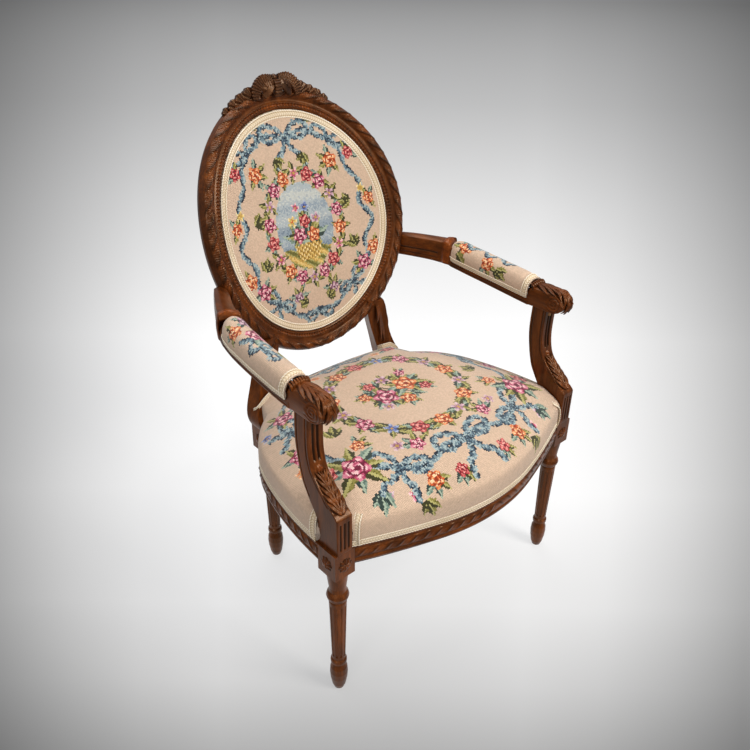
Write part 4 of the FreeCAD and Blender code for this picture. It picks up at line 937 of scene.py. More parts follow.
def arc_from_bottom(angles):
    """Arc length along the oval from its lowest point, positive on the right and negative on the left."""
    turn = np.radians(np.linspace(-90, 90, 721))
    points = np.stack([HALF_U * np.cos(turn), HALF_V * np.sin(turn)], axis=1)
    lengths = np.concatenate([[0], np.cumsum(np.linalg.norm(np.diff(points, axis=0), axis=1))])
    signed = (np.asarray(angles) + 270) % 360
    right = signed <= 180
    folded = np.where(right, signed, 360 - signed)
    arc = np.interp(folded, np.linspace(0, 180, 721), lengths)
    return np.where(right, arc, -arc)


def ring_relief(arc, out, front):
    """Height of the carving on the ring's front: beads inside, overlapping laurel leaves outside."""
    cell = (arc + BEAD_PITCH / 2) % BEAD_PITCH - BEAD_PITCH / 2
    beads = np.sqrt(np.maximum(BEAD_RADIUS**2 - cell**2 - (out - BEAD_MIDDLE) ** 2, 0)) - 0.9
    beads = np.where(np.abs(out - BEAD_MIDDLE) < BEAD_RADIUS + 0.6, beads, 0)
    share = np.clip((out - LEAF_START) / (LEAF_END - LEAF_START), 0, 1)
    window = np.sin(np.pi * share) ** 0.35
    slanted = np.abs(arc) / LEAF_PITCH - 1.15 * share
    phase = slanted - np.floor(slanted)
    blade = 3.2 * np.sin(np.pi * phase**0.75) ** 0.8 - 2.2
    rib = -1.3 * np.exp(-((phase - 0.42) / 0.04) ** 2)
    vein = 0.3 * np.sin(arc * 1.7)
    return front * (beads + window * (blade + rib + vein))


def ring_piece(name, start, end, node):
    angles = np.linspace(start, end, int((end - start) * 5.2))
    base, outward, normal = ring_rows(angles)
    loop = softened(RING_OUTLINE, 0.95, 2)
    arc = arc_from_bottom(angles)[:, None]
    front = (loop[:, 1] > -3).astype(float) * (loop[:, 0] > 1)
    relief = ring_relief(arc, loop[None, :, 0], front[None, :])
    loops = np.broadcast_to(loop, (len(angles), *loop.shape))
    piece = add_bar(name, [bar_part(base, outward, normal, loops, relief)], walnut_carved)
    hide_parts(node)


RING_PIECES = {
    "back_top_rail": (48, 132),
    "back_left_upright": (132, 222),
    "back_bottom_rail": (222, 318),
    "back_right_upright": (318, 408),
}
for node, (start, end) in RING_PIECES.items():
    ring_piece(f"carved_{node}", start, end, node)


# Braid: a woven gimp with a corded edge on both sides

GIMP_OUTLINE_SAMPLES = 14


def braid_part(path, outward, upward, width, thick):
    """A braid on a line of points: outward is away from what it is glued to, upward is its width."""
    across = np.linspace(0, 1, GIMP_OUTLINE_SAMPLES)
    arc = np.concatenate([[0], np.cumsum(np.linalg.norm(np.diff(path, axis=0), axis=1))])[:, None]
    beat = arc * 2 * np.pi / 5.2
    weave = 0.5 + 0.5 * np.sin(beat + np.where(across < 0.5, 1, -1) * across * 12)
    edge = np.exp(-((across - 0.08) / 0.07) ** 2) + np.exp(-((across - 0.92) / 0.07) ** 2)
    valley = np.exp(-((across - 0.24) / 0.05) ** 2) + np.exp(-((across - 0.76) / 0.05) ** 2)
    cord = edge * (0.3 + 0.22 * np.sin(beat * 1.5))
    height = 0.5 + 0.32 * weave + cord - 0.42 * valley
    # This height is also the braid's painted shade: low gaps and valleys darker, raised cords paler.
    relief = height - 0.3
    height = thick * height * np.sin(np.pi * np.clip(across, 0.02, 0.98)) ** 0.15
    scallop = 0.7 * np.sin(beat)
    rows = len(path)
    heights = np.broadcast_to(height, (rows, len(across)))
    front = np.stack([heights, (across - 0.5) * (width + scallop)], axis=-1)
    rear = np.zeros((rows, 2, 2))
    rear[:, 0, 1], rear[:, 1, 1] = width / 2, -width / 2
    loops = np.concatenate([front, rear], axis=1)
    points, groups, _ = bar_part(path, outward, upward, loops)
    relief = np.broadcast_to(relief, (rows, len(across)))
    return points, groups, np.concatenate([relief, np.full((rows, 2), 0.2)], axis=1).ravel()


def oval_braid(name, node, middle, facing, width, thick):
    """A braid all round the oval on a closed line of points, turned to face a given way."""
    upward = unit(np.cross(facing, np.gradient(middle, axis=0)))
    path, facing, upward = (np.vstack([rows, rows[:1]]) for rows in (middle, facing, upward))
    piece = add_bar(name, [braid_part(path, facing, upward, width, thick)], braid_cloth)
    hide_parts(node)


def front_braid():
    turn = np.radians(ROUND_ANGLES)
    share = 1 - (FRONT_BRAID_WIDTH / 2 + 0.5) / HALF_U
    middle = back_surface(HALF_U * np.cos(turn) * share, HALF_V * np.sin(turn) * share)
    facing = unit(np.cross(np.gradient(middle, axis=0), ring_rows(ROUND_ANGLES)[1]))
    facing = np.where((facing @ AXIS_W)[:, None] < 0, -facing, facing)
    oval_braid("back_braid", "back_gimp", middle + facing * 0.4, facing, FRONT_BRAID_WIDTH, 2.4)


def rear_braid():
    base, outward, normal = ring_rows(ROUND_ANGLES)
    middle = base + outward * (1 - REAR_BRAID_WIDTH / 2) + normal * REAR_BRAID_DEPTH
    oval_braid("outside_back_braid", "outside_back_gimp", middle, -normal, REAR_BRAID_WIDTH, 2.2)


ROUND_ANGLES = np.linspace(0, 360, 1000, endpoint=False)
FRONT_BRAID_WIDTH = 15.0
REAR_BRAID_WIDTH, REAR_BRAID_DEPTH = 12.0, -24.0
front_braid()
rear_braid()


# Plain cloths: the outside of the back, and the dust cover under the seat

def stretched_cloth(name, node, rim, surface, material):
    """A thin cloth stretched over an opening: rim(angles) is its edge, and surface lays it in space."""
    angles = np.linspace(0, 2 * np.pi, 360, endpoint=False)
    shares = np.linspace(0.02, 1, 40)[:, None]
    edge = rim(angles)
    points = surface(edge[None, :, :] * shares[..., None], shares)
    count = len(angles)
    middle = np.arange(count)[None, ::-1]
    groups = [grid_faces(len(shares), count, close_columns=True), middle]
    piece = add_mesh(name, points, groups, material)
    solid = piece.modifiers.new("cloth", "SOLIDIFY")
    solid.thickness = PLAIN_CLOTH * MM
    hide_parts(node)


PLAIN_CLOTH = 0.8
REAR_CLOTH_U, REAR_CLOTH_V, REAR_CLOTH_DEPTH = 197.0, 221.0, -20.6
DUST_INSET, DUST_LEVEL, DUST_SAG = 7.0, 308.6, 3.0
FRONT_NOTCH, REAR_NOTCH = (277.2, -216.0), (160.0, 104.5)


def rear_cloth_rim(angles):
    return np.stack([REAR_CLOTH_U * np.cos(angles), REAR_CLOTH_V * np.sin(angles)], axis=-1)


def rear_cloth_surface(flat, _):
    return oval_world(flat[..., 0], flat[..., 1], bow_height(flat[..., 0]) + REAR_CLOTH_DEPTH)


def dust_rim(angles):
    """The dust cover's edge from the seat's middle: up to the rails, and short of the leg blocks."""
    reach = outline_reach(angles) - DUST_INSET
    across, onward = np.abs(np.cos(angles)) + TINY, np.sin(angles) + TINY
    for notch_x, notch_y in (FRONT_NOTCH, REAR_NOTCH):
        ahead = (notch_y - SEAT_MID_Y) / onward
        limit = np.where(ahead > 0, np.maximum(notch_x / across, ahead), np.inf)
        reach = np.minimum(reach, limit)
    return np.stack([np.cos(angles), np.sin(angles)], axis=-1) * reach[:, None]


def dust_surface(flat, shares):
    level = DUST_LEVEL - DUST_SAG * (1 - np.broadcast_to(shares, flat.shape[:2]) ** 2)
    return np.concatenate([flat + PIVOT, level[..., None]], axis=-1)


stretched_cloth(
    "outside_back_cloth", "outside_back_cover", rear_cloth_rim, rear_cloth_surface, back_cloth,
)


def post_strip(side, behind):
    """Braid up the cushion's flank beside an arm support: on its inner side, or behind it."""
    if behind:
        nearby = np.array([side * (SEAT_HALF_WIDTH - 0.5), FOOT_BACK + 6.5])
    else:
        x = POST_X - POST_WIDTH / 2 - 8.5
        nearby = np.array([side * x, np.interp(x, front_face()[:, 0], front_face()[:, 1])])
    spoke = nearby - PIVOT
    heading = spoke / np.hypot(*spoke)
    reach = outline_reach(np.array([math.atan2(spoke[1], spoke[0])]))[0]
    shoulder = reach * (1 - FLANK[0, 0] / SEAT_HALF_WIDTH)
    down = np.linspace(-9, FLANK_ARC[-1] - 1, 60)
    flat = PIVOT + heading * (shoulder + down)[:, None]
    path = seat_surface(flat[:, 0], flat[:, 1])[0]
    fall = unit(np.gradient(path, axis=0))
    along = np.tile([-heading[1], heading[0], 0.0], (len(path), 1))
    outward = np.cross(fall, along)
    outward = np.where((outward @ [heading[0], heading[1], 0.6])[:, None] < 0, -outward, outward)
    return braid_part(path + outward * 0.3, outward, np.cross(fall, outward), 13.0, 2.2)


STILE_X, STILE_Y = 172.0, 158.0


def stile_strip(side):
    """Braid round the front of a stile, where it comes up through the cushion."""
    corners = [(200, 150), (194, 141), (172, 137.5), (150, 135), (143, 139), (141.5, 150)]
    line = smooth_curve(corners, spacing=1.3)
    surface = seat_surface(line[:, 0], line[:, 1])[0]
    middle = np.column_stack([line[:, 0] * side, line[:, 1], surface[:, 2] + 5.0])
    heading = unit(np.gradient(line, axis=0))
    outward = np.column_stack([-heading[:, 1] * side, heading[:, 0], np.zeros(len(line))])
    away = middle - [STILE_X * side, STILE_Y, 0.0]
    outward = np.where((outward * away).sum(axis=1)[:, None] < 0, -outward, outward)
    return braid_part(middle, outward, repeated(UP, len(line)), 11.0, 2.2)


def seat_gimp():
    """Braid along the rails between the posts and stiles, with upright ends beside the posts."""
    parts = []
    path = PIVOT + (OUTLINE - PIVOT) * (1 - 3.0 / SEAT_HALF_WIDTH)
    dense = even(np.vstack([path, path[:1]]), 1.4)
    in_post = beside_post(dense[:, 0], dense[:, 1])
    in_stile = (np.abs(np.abs(dense[:, 0]) - REAR_LEG_X) < 26) & (dense[:, 1] > 100)
    free = ~(in_post | in_stile)
    starts = np.where(free & ~np.roll(free, 1))[0]
    rolled = np.roll(np.arange(len(dense)), -starts[0])
    runs, current = [], []
    for index in rolled:
        if free[index]:
            current.append(index)
        elif current:
            runs.append(current)
            current = []
    if current:
        runs.append(current)
    for run in runs:
        line = dense[run]
        heading = unit(np.gradient(line, axis=0))
        outward = np.stack([heading[:, 1], -heading[:, 0], np.zeros(len(line))], axis=1)
        middle = np.column_stack([line, np.full(len(line), RAIL_TOP + 6.4)]) + outward * 2.2
        parts.append(braid_part(middle, outward, repeated(UP, len(line)), 12.0, 2.2))
    for side in (-1, 1):
        parts += [post_strip(side, False), post_strip(side, True), stile_strip(side)]
    piece = add_bar("seat_braid", parts, braid_cloth)
    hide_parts("seat_gimp")


seat_gimp()


# Seat rails with a carved band of ribbon round a rod

RAIL_OUTLINE = [
    (0, 352), (0, 347.5), (-1.6, 346.5), (-1.6, 345), (0.2, 343.5), (1.6, 340), (2, 335), (1.6, 330),
    (0.2, 326.5),
    (-1.4, 325), (-1.4, 323.5), (0.4, 322), (0.8, 319), (-0.4, 315.5), (-3, 313), (-26, 313), (-28, 315),
    (-28, 350), (-26, 352),
]
TWIST_PITCH, RAIL_STEP = 24.0, 1.7


def rail_relief(arc, z, front):
    """Height of the carving on a rail: leaf-like turns of ribbon round a rod."""
    share = np.clip((z - 326) / 18, 0, 1)
    window = np.sin(np.pi * share) ** 0.5
    slanted = arc / TWIST_PITCH + 0.75 * share
    phase = slanted - np.floor(slanted)
    blade = 2.2 * np.sin(np.pi * phase) ** 0.8 - 1.4
    rib = -0.8 * np.exp(-((phase - 0.5) / 0.05) ** 2)
    return front * window * (blade + rib)


def carved_rail(name, line, node):
    """A rail along a plan line whose outer side is on the right as it is walked."""
    line = even(line, RAIL_STEP)
    heading = unit(np.gradient(line, axis=0))
    outward = np.column_stack([heading[:, 1], -heading[:, 0], np.zeros(len(line))])
    base = np.column_stack([line, np.zeros(len(line))])
    upward = repeated(UP, len(line))
    loop = softened(RAIL_OUTLINE, 1.1, 2)
    arc = np.arange(len(line))[:, None] * RAIL_STEP
    arc = np.abs(arc - arc.mean())
    front = (loop[:, 0] > -2.4).astype(float)
    relief = rail_relief(arc, loop[None, :, 1], front[None, :])
    loops = np.broadcast_to(loop, (len(line), *loop.shape))
    piece = add_bar(name, [bar_part(base, outward, upward, loops, relief)], walnut_side)
    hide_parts(node)


FRONT_LINE = np.vstack([front_face()[::-1] * [-1, 1], front_face()[1:]])
FRONT_LINE = FRONT_LINE[np.abs(FRONT_LINE[:, 0]) < POST_X - 21.4]
carved_rail("carved_front_rail", FRONT_LINE, "front_rail")
SIDE_LINE = side_face()
SIDE_LINE = SIDE_LINE[(SIDE_LINE[:, 1] > -216.5) & ((SIDE_LINE[:, 1] < 105) | (SIDE_LINE[:, 0] > 203.5))]
carved_rail("carved_right_side_rail", SIDE_LINE, "right_side_rail")
carved_rail("carved_left_side_rail", (SIDE_LINE * [-1, 1])[::-1], "left_side_rail")
stretched_cloth(
    "seat_dust_cloth", "dust_cover", dust_rim, dust_surface, cambric,
)


# Arm supports: a fluted foot, an acanthus leaf on the slope and a fluted upright

SUPPORT_FRONT = [
    (-263.5, 352), (-263.5, 388), (-263.5, 421), (-262.6, 426), (-256, 432.5), (-249.5, 437), (-230, 456),
    (-211.5, 474), (-202, 486), (-196.5, 500), (-192.6, 520), (-191.5, 540), (-192.2, 570), (-193.5, 592),
]
SUPPORT_REAR = [
    (-211.5, 352), (-211.5, 378), (-211.5, 394), (-208.5, 403), (-202.5, 413), (-196, 421), (-183, 441),
    (-173.5, 458), (-167, 478), (-162.5, 498), (-158.8, 520), (-157, 542), (-157.4, 570), (-158.5, 592),
]
ACANTHUS_PAIRS, ACANTHUS_RISE, ACANTHUS_LEAN = 5, 3.4, 0.3
SUPPORT_ROWS = 230
FOOT_LOW, FOOT_HIGH, FLUTE_PITCH, FLUTE_DEPTH = 360, 416, 8.6, 2.2
PANEL_LOW, PANEL_HIGH, PANEL_HALF, PANEL_DEPTH = 502, 588, 7.2, 3.0
BUD_Z, BUD_RADIUS, SLOPE_LOW, SLOPE_HIGH = 491, 6, 428, 489


def blade_part(path, facing, width, thick, tip=0.6):
    """A carved leaflet along a path: a thin pointed bar with a hollow down its middle."""
    path = smooth_curve(path, count=22)
    ahead = unit(np.gradient(path, axis=0))
    facing = np.broadcast_to(np.asarray(facing, float), path.shape)
    across = unit(np.cross(ahead, facing))
    upward = np.cross(across, ahead)
    share = np.linspace(0, 1, len(path))
    swell = np.sin(np.pi * np.clip(0.06 + 0.94 * share**tip, 0, 1)) ** 0.7 + 0.06
    place = np.linspace(-1, 1, 9)
    roof = np.cos(place * np.pi / 2) ** 0.6 - 0.5 * np.exp(-(place / 0.22) ** 2)
    top = np.column_stack([place * width / 2, roof * thick])
    loop = np.vstack([top, [(width / 2, -thick), (-width / 2, -thick)]])
    loops = loop[None] * swell[:, None, None]
    # Painted shade on the leaflet: its underside near black, its edges and the hollow down its middle darker
    # than its crown.
    painted_shade_tones = np.concatenate([roof * 2.4 - 1.6, [-2.5, -2.5]])
    points, groups, _ = bar_part(path, across, upward, loops)
    return points, groups, np.broadcast_to(painted_shade_tones, (len(path), len(loop))).ravel()


def acanthus(point_at, facing_at, half, start=0.04):
    """A leaf of overlapping lobes, laid on a surface.

    point_at(along, across, height) is a point over that surface, and facing_at(along) the way it faces."""
    rise, lean = ACANTHUS_RISE, ACANTHUS_LEAN
    # Each lobe's path as along, across and height, then its width and thickness
    lobes = (
        ([(0, 0, 0.3), (0.35 * lean, 0.35, 0.75), (0.7 * lean, 0.72, 1.0), (1.15 * lean, 1.0, 0.5)],
         0.62, 0.7),
        ([(0.05, 0, 0.5), (0.5 * lean, 0.22, 0.95), (0.9 * lean, 0.45, 1.15), (1.4 * lean, 0.62, 0.8)],
         0.4, 0.75),
    )
    parts = []
    for number in range(ACANTHUS_PAIRS):
        root = start + (0.86 - start) * number / ACANTHUS_PAIRS
        reach = half * (1 - 0.4 * number / ACANTHUS_PAIRS)
        facing = facing_at(root + 0.5 * lean)
        for way in (-1, 1):
            for steps, width, thick in lobes:
                path = [point_at(root + along, way * across * reach, high * rise)
                        for along, across, high in steps]
                parts.append(blade_part(path, facing, reach * width, rise * thick))
    spine = [point_at(along, 0, rise * 0.8) for along in np.linspace(start, 1.0, 7)]
    parts.append(blade_part(spine, facing_at(0.5), half * 0.34, rise * 0.9, 1.0))
    return parts


def surface_frame(line, droop=0.0):
    """Functions that lay points on a (y, z) line: along it, across it in x and above it."""
    line = np.asarray(line, float)
    slope = unit(np.gradient(line, axis=0))
    normal = np.column_stack([slope[:, 1], -slope[:, 0]])
    if normal[len(normal) // 2] @ np.array([-1.0, 1.0]) < 0:
        normal = -normal
    shares = np.linspace(0, 1, len(line))

    def at(share, values):
        return np.array([np.interp(share, shares, values[:, axis]) for axis in (0, 1)])

    def point(x, share, across, height):
        y, z = at(share, line) + at(share, normal) * (height - droop * across**2)
        return np.array([x + across, y, z])

    def facing(share):
        y, z = at(share, normal)
        return np.array([0.0, y, z])

    return point, facing


def arm_support(word, side):
    front = smooth_curve(SUPPORT_FRONT, count=SUPPORT_ROWS)
    rear = smooth_curve(SUPPORT_REAR, count=SUPPORT_ROWS)
    middle = (front + rear) / 2
    depth_way = unit(np.column_stack([np.zeros(len(front)), front - rear]))
    half_depth = np.linalg.norm(front - rear, axis=1) / 2
    base = np.column_stack([np.full(len(front), side * POST_X), middle])
    across = repeated(AXIS_U, len(front))
    half = POST_WIDTH / 2
    unit_loop = softened(SQUARE, 0.045, 2)
    loops = unit_loop[None] * np.stack([np.full(len(front), half), half_depth], axis=1)[:, None]
    x, forward = loops[..., 0], loops[..., 1]
    z = front[:, 1:2]
    on_front = (unit_loop[:, 1] > 0.93)[None, :] * (np.abs(x) < half - 1)
    on_side = (np.abs(unit_loop[:, 0]) > 0.95)[None, :]
    flutes = np.maximum(np.cos(x * 2 * np.pi / FLUTE_PITCH), 0) ** 0.7 * (np.abs(x) < 12.5)
    foot = ((z > FOOT_LOW) & (z < FOOT_HIGH)) * -FLUTE_DEPTH * flutes
    upper_end = np.clip(np.minimum(z - PANEL_LOW, PANEL_HIGH - z) / 3, 0, 1)
    rod = 2.6 * np.sqrt(np.maximum(1 - (x / 3.4) ** 2, 0))
    upper = upper_end * (-PANEL_DEPTH * (np.abs(x) < PANEL_HALF) + rod)
    bud = np.sqrt(np.maximum(BUD_RADIUS**2 - x**2 - (z - BUD_Z) ** 2, 0)) * 0.55
    bud = bud * (1 + 0.3 * np.cos(5 * np.arctan2(z - BUD_Z, x)))
    groove = -1.3 * np.exp(-((np.abs(forward) - (half_depth[:, None] - 6)) / 1.1) ** 2) * (z > 440)
    relief = on_front * (foot + upper + bud) + on_side * groove
    sloping = front[(front[:, 1] > SLOPE_LOW) & (front[:, 1] < SLOPE_HIGH)]
    point, facing = surface_frame(sloping)
    leaves = acanthus(lambda *place: point(side * POST_X, *place), facing, 16.0)
    body = bar_part(base, across, depth_way, loops, relief)
    piece = add_bar(f"carved_{word}_arm_support", [body, *leaves], walnut_up)
    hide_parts(f"{word}_arm_support")


# Arms: moulded bars that sweep forward from the ring and end in scrolled, leaf-covered hands

ARM_LINE = [
    # x, y, underside, top and half width on the right
    (232, 184, 613, 662, 13), (246, 154, 614, 664, 16), (266, 114, 613, 664, 18), (280, 80, 611, 664, 20),
    (281.5, 73, 610.5, 664, 20), (284, 67, 610, 655, 20), (286, 62, 610, 625, 20), (292, 20, 603.5, 618, 20),
    (296, -40, 597.5, 612, 20), (298.5, -110, 591, 606, 20), (299, -144, 588.5, 604, 20),
    (299, -149, 588, 626, 20), (299, -165, 587.6, 631, 20), (299, -188, 587.5, 632, 20.5),
]
HAND_X, HAND_Y, HAND_Z, HAND_RADIUS = 299.0, -209.0, 609.5, 22.5
ARM_ROWS, HAND_ROWS, HAND_START = 330, 26, 16
# How round the arm's section is along y, from 0 for square to 1 for round
ROUNDING_Y = [-170, -150, -146, 60, 72, 100, 180]
ROUNDING = [0.6, 0.4, 0.06, 0.06, 0.5, 0.55, 0.55]
COLLAR_Y, COLLAR_RISE = [66, 70, 76, 82, 86], [0, 2.6, 3.2, 2.6, 0]
VOLUTE_PITCH, VOLUTE_REACH = 7.0, 19
HAND_TOP, HAND_TURNS = [(-154, 629.5), (-170, 631), (-188, 631)], [-20, 10, 35, 60, 85, 110, 135]
# The row of small leaves behind the hand: how far each step spreads, its y and z, and its crown
RUFF_COUNT, RUFF_PITCH = 8, 4.9
RUFF_STEPS = ((1, -158, 622, 6), (1, -156, 631, 4), (1.04, -150.5, 635, 3.5), (1.06, -147, 632, 3))


def arm(word, side):
    stations = smooth_curve(ARM_LINE, count=ARM_ROWS)
    bend_in = np.radians(np.linspace(0, 88, HAND_ROWS))[1:]
    last = stations[-1]
    extra = np.stack([
        np.full(len(bend_in), last[0]),
        HAND_Y + HAND_START - (HAND_RADIUS + HAND_START) * np.sin(bend_in),
        HAND_Z - HAND_RADIUS * np.cos(bend_in),
        HAND_Z + HAND_RADIUS * np.cos(bend_in),
        last[4] * (1 - 0.12 * np.sin(bend_in)),
    ], axis=1)
    stations = np.vstack([stations, extra])
    x, y, low, high, half = stations.T
    base = np.column_stack([x, y, (low + high) / 2])
    plan = unit(np.gradient(np.column_stack([x, y]), axis=0))
    across = np.column_stack([-plan[:, 1], plan[:, 0], np.zeros(len(x))])
    upward = repeated(UP, len(x))
    unit_loop = softened(SQUARE, 0.05, 3)
    round_loop = unit_loop / np.linalg.norm(unit_loop, axis=1, keepdims=True)
    rounding = np.interp(y, ROUNDING_Y, ROUNDING)
    upper = (unit_loop[:, 1] > 0)[None, :, None]
    mix = rounding[:, None, None] * np.where(upper, 1.0, 0.5)
    half_sizes = np.stack([half, (high - low) / 2], axis=1)[:, None]
    loops = (unit_loop[None] * (1 - mix) + round_loop[None] * mix) * half_sizes
    a, b = loops[..., 0], loops[..., 1]
    world_y, world_z = base[:, 1:2] + a * across[:, 1:2], base[:, 2:] + b
    on_side = (np.abs(unit_loop[:, 0]) > 0.94)[None, :]
    share = b / ((high - low) / 2)[:, None]
    rear = (world_y > 88) & (world_y < 196)
    groove = -2.4 * np.exp(-((share + 0.12) / 0.05) ** 2) - 1.2 * np.exp(-((share + 0.55) / 0.04) ** 2)
    tray = (world_y < 60) & (world_y > -146)
    tray_groove = -1.2 * np.exp(-((world_z - low[:, None] - 5) / 1.1) ** 2)
    radius = np.hypot(world_y - HAND_Y, world_z - HAND_Z)
    angle = np.arctan2(world_z - HAND_Z, world_y - HAND_Y)
    spiral = (radius / VOLUTE_PITCH - angle / (2 * np.pi)) % 1
    volute = np.where(radius < VOLUTE_REACH, -1.7 * np.exp(-((spiral - 0.5) / 0.16) ** 2) + 0.8, 0)
    sides = np.where(rear, groove, np.where(tray, tray_groove, np.where(world_y < -150, volute, 0)))
    collar = np.interp(y, COLLAR_Y, COLLAR_RISE)[:, None]
    relief = on_side * sides + collar * (unit_loop[:, 1] > -0.9)[None, :]
    points, groups, values = bar_part(base, across, upward, loops, relief)
    points = points * [side, 1, 1]
    if side < 0:
        groups = [group[:, ::-1] for group in groups]
    top = HAND_TOP + [
        (HAND_Y - HAND_RADIUS * math.sin(turn) * 1.02, HAND_Z + HAND_RADIUS * math.cos(turn))
        for turn in np.radians(HAND_TURNS)
    ]
    point, facing = surface_frame(smooth_curve(top, spacing=1.5), 0.016)
    leaves = acanthus(lambda *place: point(side * HAND_X, *place), facing, 19.0, 0.02)
    for number in range(RUFF_COUNT):
        place = (number - (RUFF_COUNT - 1) / 2) * RUFF_PITCH
        lift = 1 - 0.012 * place**2 / 4
        path = [(side * HAND_X + place * spread, at_y, at_z + rise * lift)
                for spread, at_y, at_z, rise in RUFF_STEPS]
        leaves.append(blade_part(path, (0, -1, 0.6), 5.4, 2.2))
    piece = add_bar(f"carved_{word}_arm", [(points, groups, values), *leaves], walnut_deep)
    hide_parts(f"{word}_arm")


for side, word in ((-1, "left"), (1, "right")):
    arm_support(word, side)
    arm(word, side)


# Arm pads

PAD_REAR, PAD_FRONT = 64.0, -146.0
PAD_HALF, PAD_HEIGHT = 22.5, 41.0
TRAY_BELOW = 627


def tray_at(y):
    """Middle and top of the arm's tray at y, on the right."""
    line = np.array(ARM_LINE)[::-1]
    line = line[line[:, 3] < TRAY_BELOW]
    return np.interp(y, line[:, 1], line[:, 0]), np.interp(y, line[:, 1], line[:, 3])


def pad_surface(side):
    """Maps canvas across and along to the pad's rounded top."""
    right = [(0, 1.03), (0.4, 0.985), (0.78, 0.85), (1.02, 0.6), (1.1, 0.3), (1, 0.0)]
    section = [(-x, z) for x, z in right[::-1]] + right[1:]
    flank = smooth_curve(np.array(section) * [PAD_HALF, PAD_HEIGHT], spacing=1.0)
    arc = np.concatenate([[0], np.cumsum(np.hypot(*np.diff(flank, axis=0).T))])
    half_arc = arc[-1] / 2

    def surface(across, along):
        height = np.interp(across + half_arc, arc, flank[:, 1])
        sideways = np.interp(across + half_arc, arc, flank[:, 0])
        rear_end = np.sqrt(np.clip(1 - (1 - np.clip((PAD_REAR - along) / 24, 0, 1)) ** 2, 0, 1))
        front_end = np.sqrt(np.clip(1 - (1 - np.clip((along - PAD_FRONT) / 34, 0, 1)) ** 2, 0, 1))
        swell = (0.74 + 0.26 * rear_end) * (0.7 + 0.3 * front_end)
        middle, floor = tray_at(along)
        x = middle + sideways * (0.5 + 0.5 * rear_end) * (0.92 + 0.08 * front_end)
        z = floor + 0.4 + height * swell
        return np.stack([side * x, along + 0 * x, z], axis=-1)

    return surface, half_arc


def pad_design(side):
    def design(canvas):
        """Roses and leaves on both sides of a waving ribbon, towards the pad's rear."""
        lift = (PAD_REAR + PAD_FRONT) / 2 + 12
        if side < 0:
            posy(canvas, -18, lift + 62, 15, MAUVE, (30, 90, 150, 330), 2.1)
            posy(canvas, 16, lift + 46, 13, ORANGE, (20, 80, 330), 2.2)
            posy(canvas, -14, lift + 14, 20, PINK, (120, 180, 240, 300), 1.9)
            posy(canvas, -34, lift - 24, 12, PINK, (200, 250, 290), 2.6)
            line = [(22, 20), (6, 2), (22, -14), (4, -28), (-2, -48)]
            ribbon(canvas, np.array(line) + [0, lift], 11.0)
            bow(canvas, 4, lift - 40, 26, 100, 9.0, tails=False)
            spray(canvas, -22, lift - 40, 260, 38, OLIVE, 2)
        else:
            posy(canvas, -10, lift + 56, 15, ORANGE, (40, 100, 160, 300), 2.2)
            leaf(canvas, -30, lift + 70, 230, 30, OLIVE)
            line = [(8, 62), (-8, 44), (10, 22), (-8, 0), (10, -22), (-6, -44), (6, -58)]
            ribbon(canvas, np.array(line) + [0, lift], 10.0)
            posy(canvas, -24, lift - 8, 14, ORANGE, (150, 200, 250), 2.2)
            posy(canvas, 24, lift + 24, 12, PINK, (10, 60, 320), 2.2)
            spray(canvas, -26, lift - 32, 240, 34, OLIVE)
            blossom(canvas, 22, lift - 26, 11, RED)
            spray(canvas, 20, lift - 44, 290, 30, SAGE)

    return design


def arm_pad(word, side):
    surface, half_arc = pad_surface(side)
    reach = half_arc + STITCH
    piece = stitched_piece(
        f"{word}_arm_needlepoint", (-reach, reach), (PAD_FRONT, PAD_REAR), surface,
        lambda x, y: np.abs(x) < half_arc, pad_design(side),
    )
    if side < 0:
        piece.data.flip_normals()
    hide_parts(f"{word}_arm_cover", f"{word}_arm_stuffing")
    return surface, half_arc


def arm_gimp(word, side, surface, half_arc):
    """Braid along the pad's foot and over its front end."""
    parts = []
    along = np.linspace(PAD_FRONT + 3, PAD_REAR - 3, 170)
    for edge in (-1, 1):
        foot = surface(np.full(len(along), edge * (half_arc - 5.5)), along)
        up = unit(surface(np.full(len(along), edge * (half_arc - 8.5)), along)
                  - surface(np.full(len(along), edge * (half_arc - 2.5)), along))
        ahead = unit(np.gradient(foot, axis=0))
        out = np.cross(up, ahead)
        out = np.where((out[:, :1] * side * edge) < 0, -out, out)
        parts.append(braid_part(foot + out * 0.2, out, np.cross(ahead, out), 10.0, 2.2))
    across = np.linspace(-half_arc + 1, half_arc - 1, 90)
    end = PAD_FRONT + 7.5
    over = surface(across, np.full(len(across), end))
    up = unit(surface(across, np.full(len(across), end - 3)) - surface(across, np.full(len(across), end + 3)))
    ahead = unit(np.gradient(over, axis=0))
    out = np.cross(ahead, up)
    centre = over.mean(axis=0)
    out = np.where(((out * (over - centre)).sum(axis=1)[:, None] < 0), -out, out)
    parts.append(braid_part(over + out * 0.2, out, up, 13.0, 2.4))
    piece = add_bar(f"{word}_arm_braid", parts, braid_cloth)
    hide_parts(f"{word}_arm_gimp")


for side, word in ((-1, "left"), (1, "right")):
    pad_top, pad_arc = arm_pad(word, side)
    arm_gimp(word, side, pad_top, pad_arc)


# Crest: a ribbon bow over the ring's top

CREST_LOOP = [(0, 262, 16), (9, 272, 21), (22, 271, 20), (30, 262, 18), (26, 254, 15)]
CREST_BAND = [(2, 278, 19), (12, 268, 21), (22, 258, 19), (34, 250, 14)]
CREST_KNOT = [(0, 248, 13), (0, 256, 20), (0, 268, 23), (0, 279, 19)]
CREST_CURLS = [(62, 257, 13.5), (81, 250, 12), (99, 242, 10.5), (116, 232, 8.5)]
CURL = [(-0.9, -0.15, 0.1), (-0.45, 0.4, 0.45), (0.15, 0.35, 0.55), (0.6, -0.1, 0.4), (0.95, -0.6, 0.1)]
BALL_RADIUS, BALL_ROWS = 7.5, 14
RIBBON_ROWS = 120


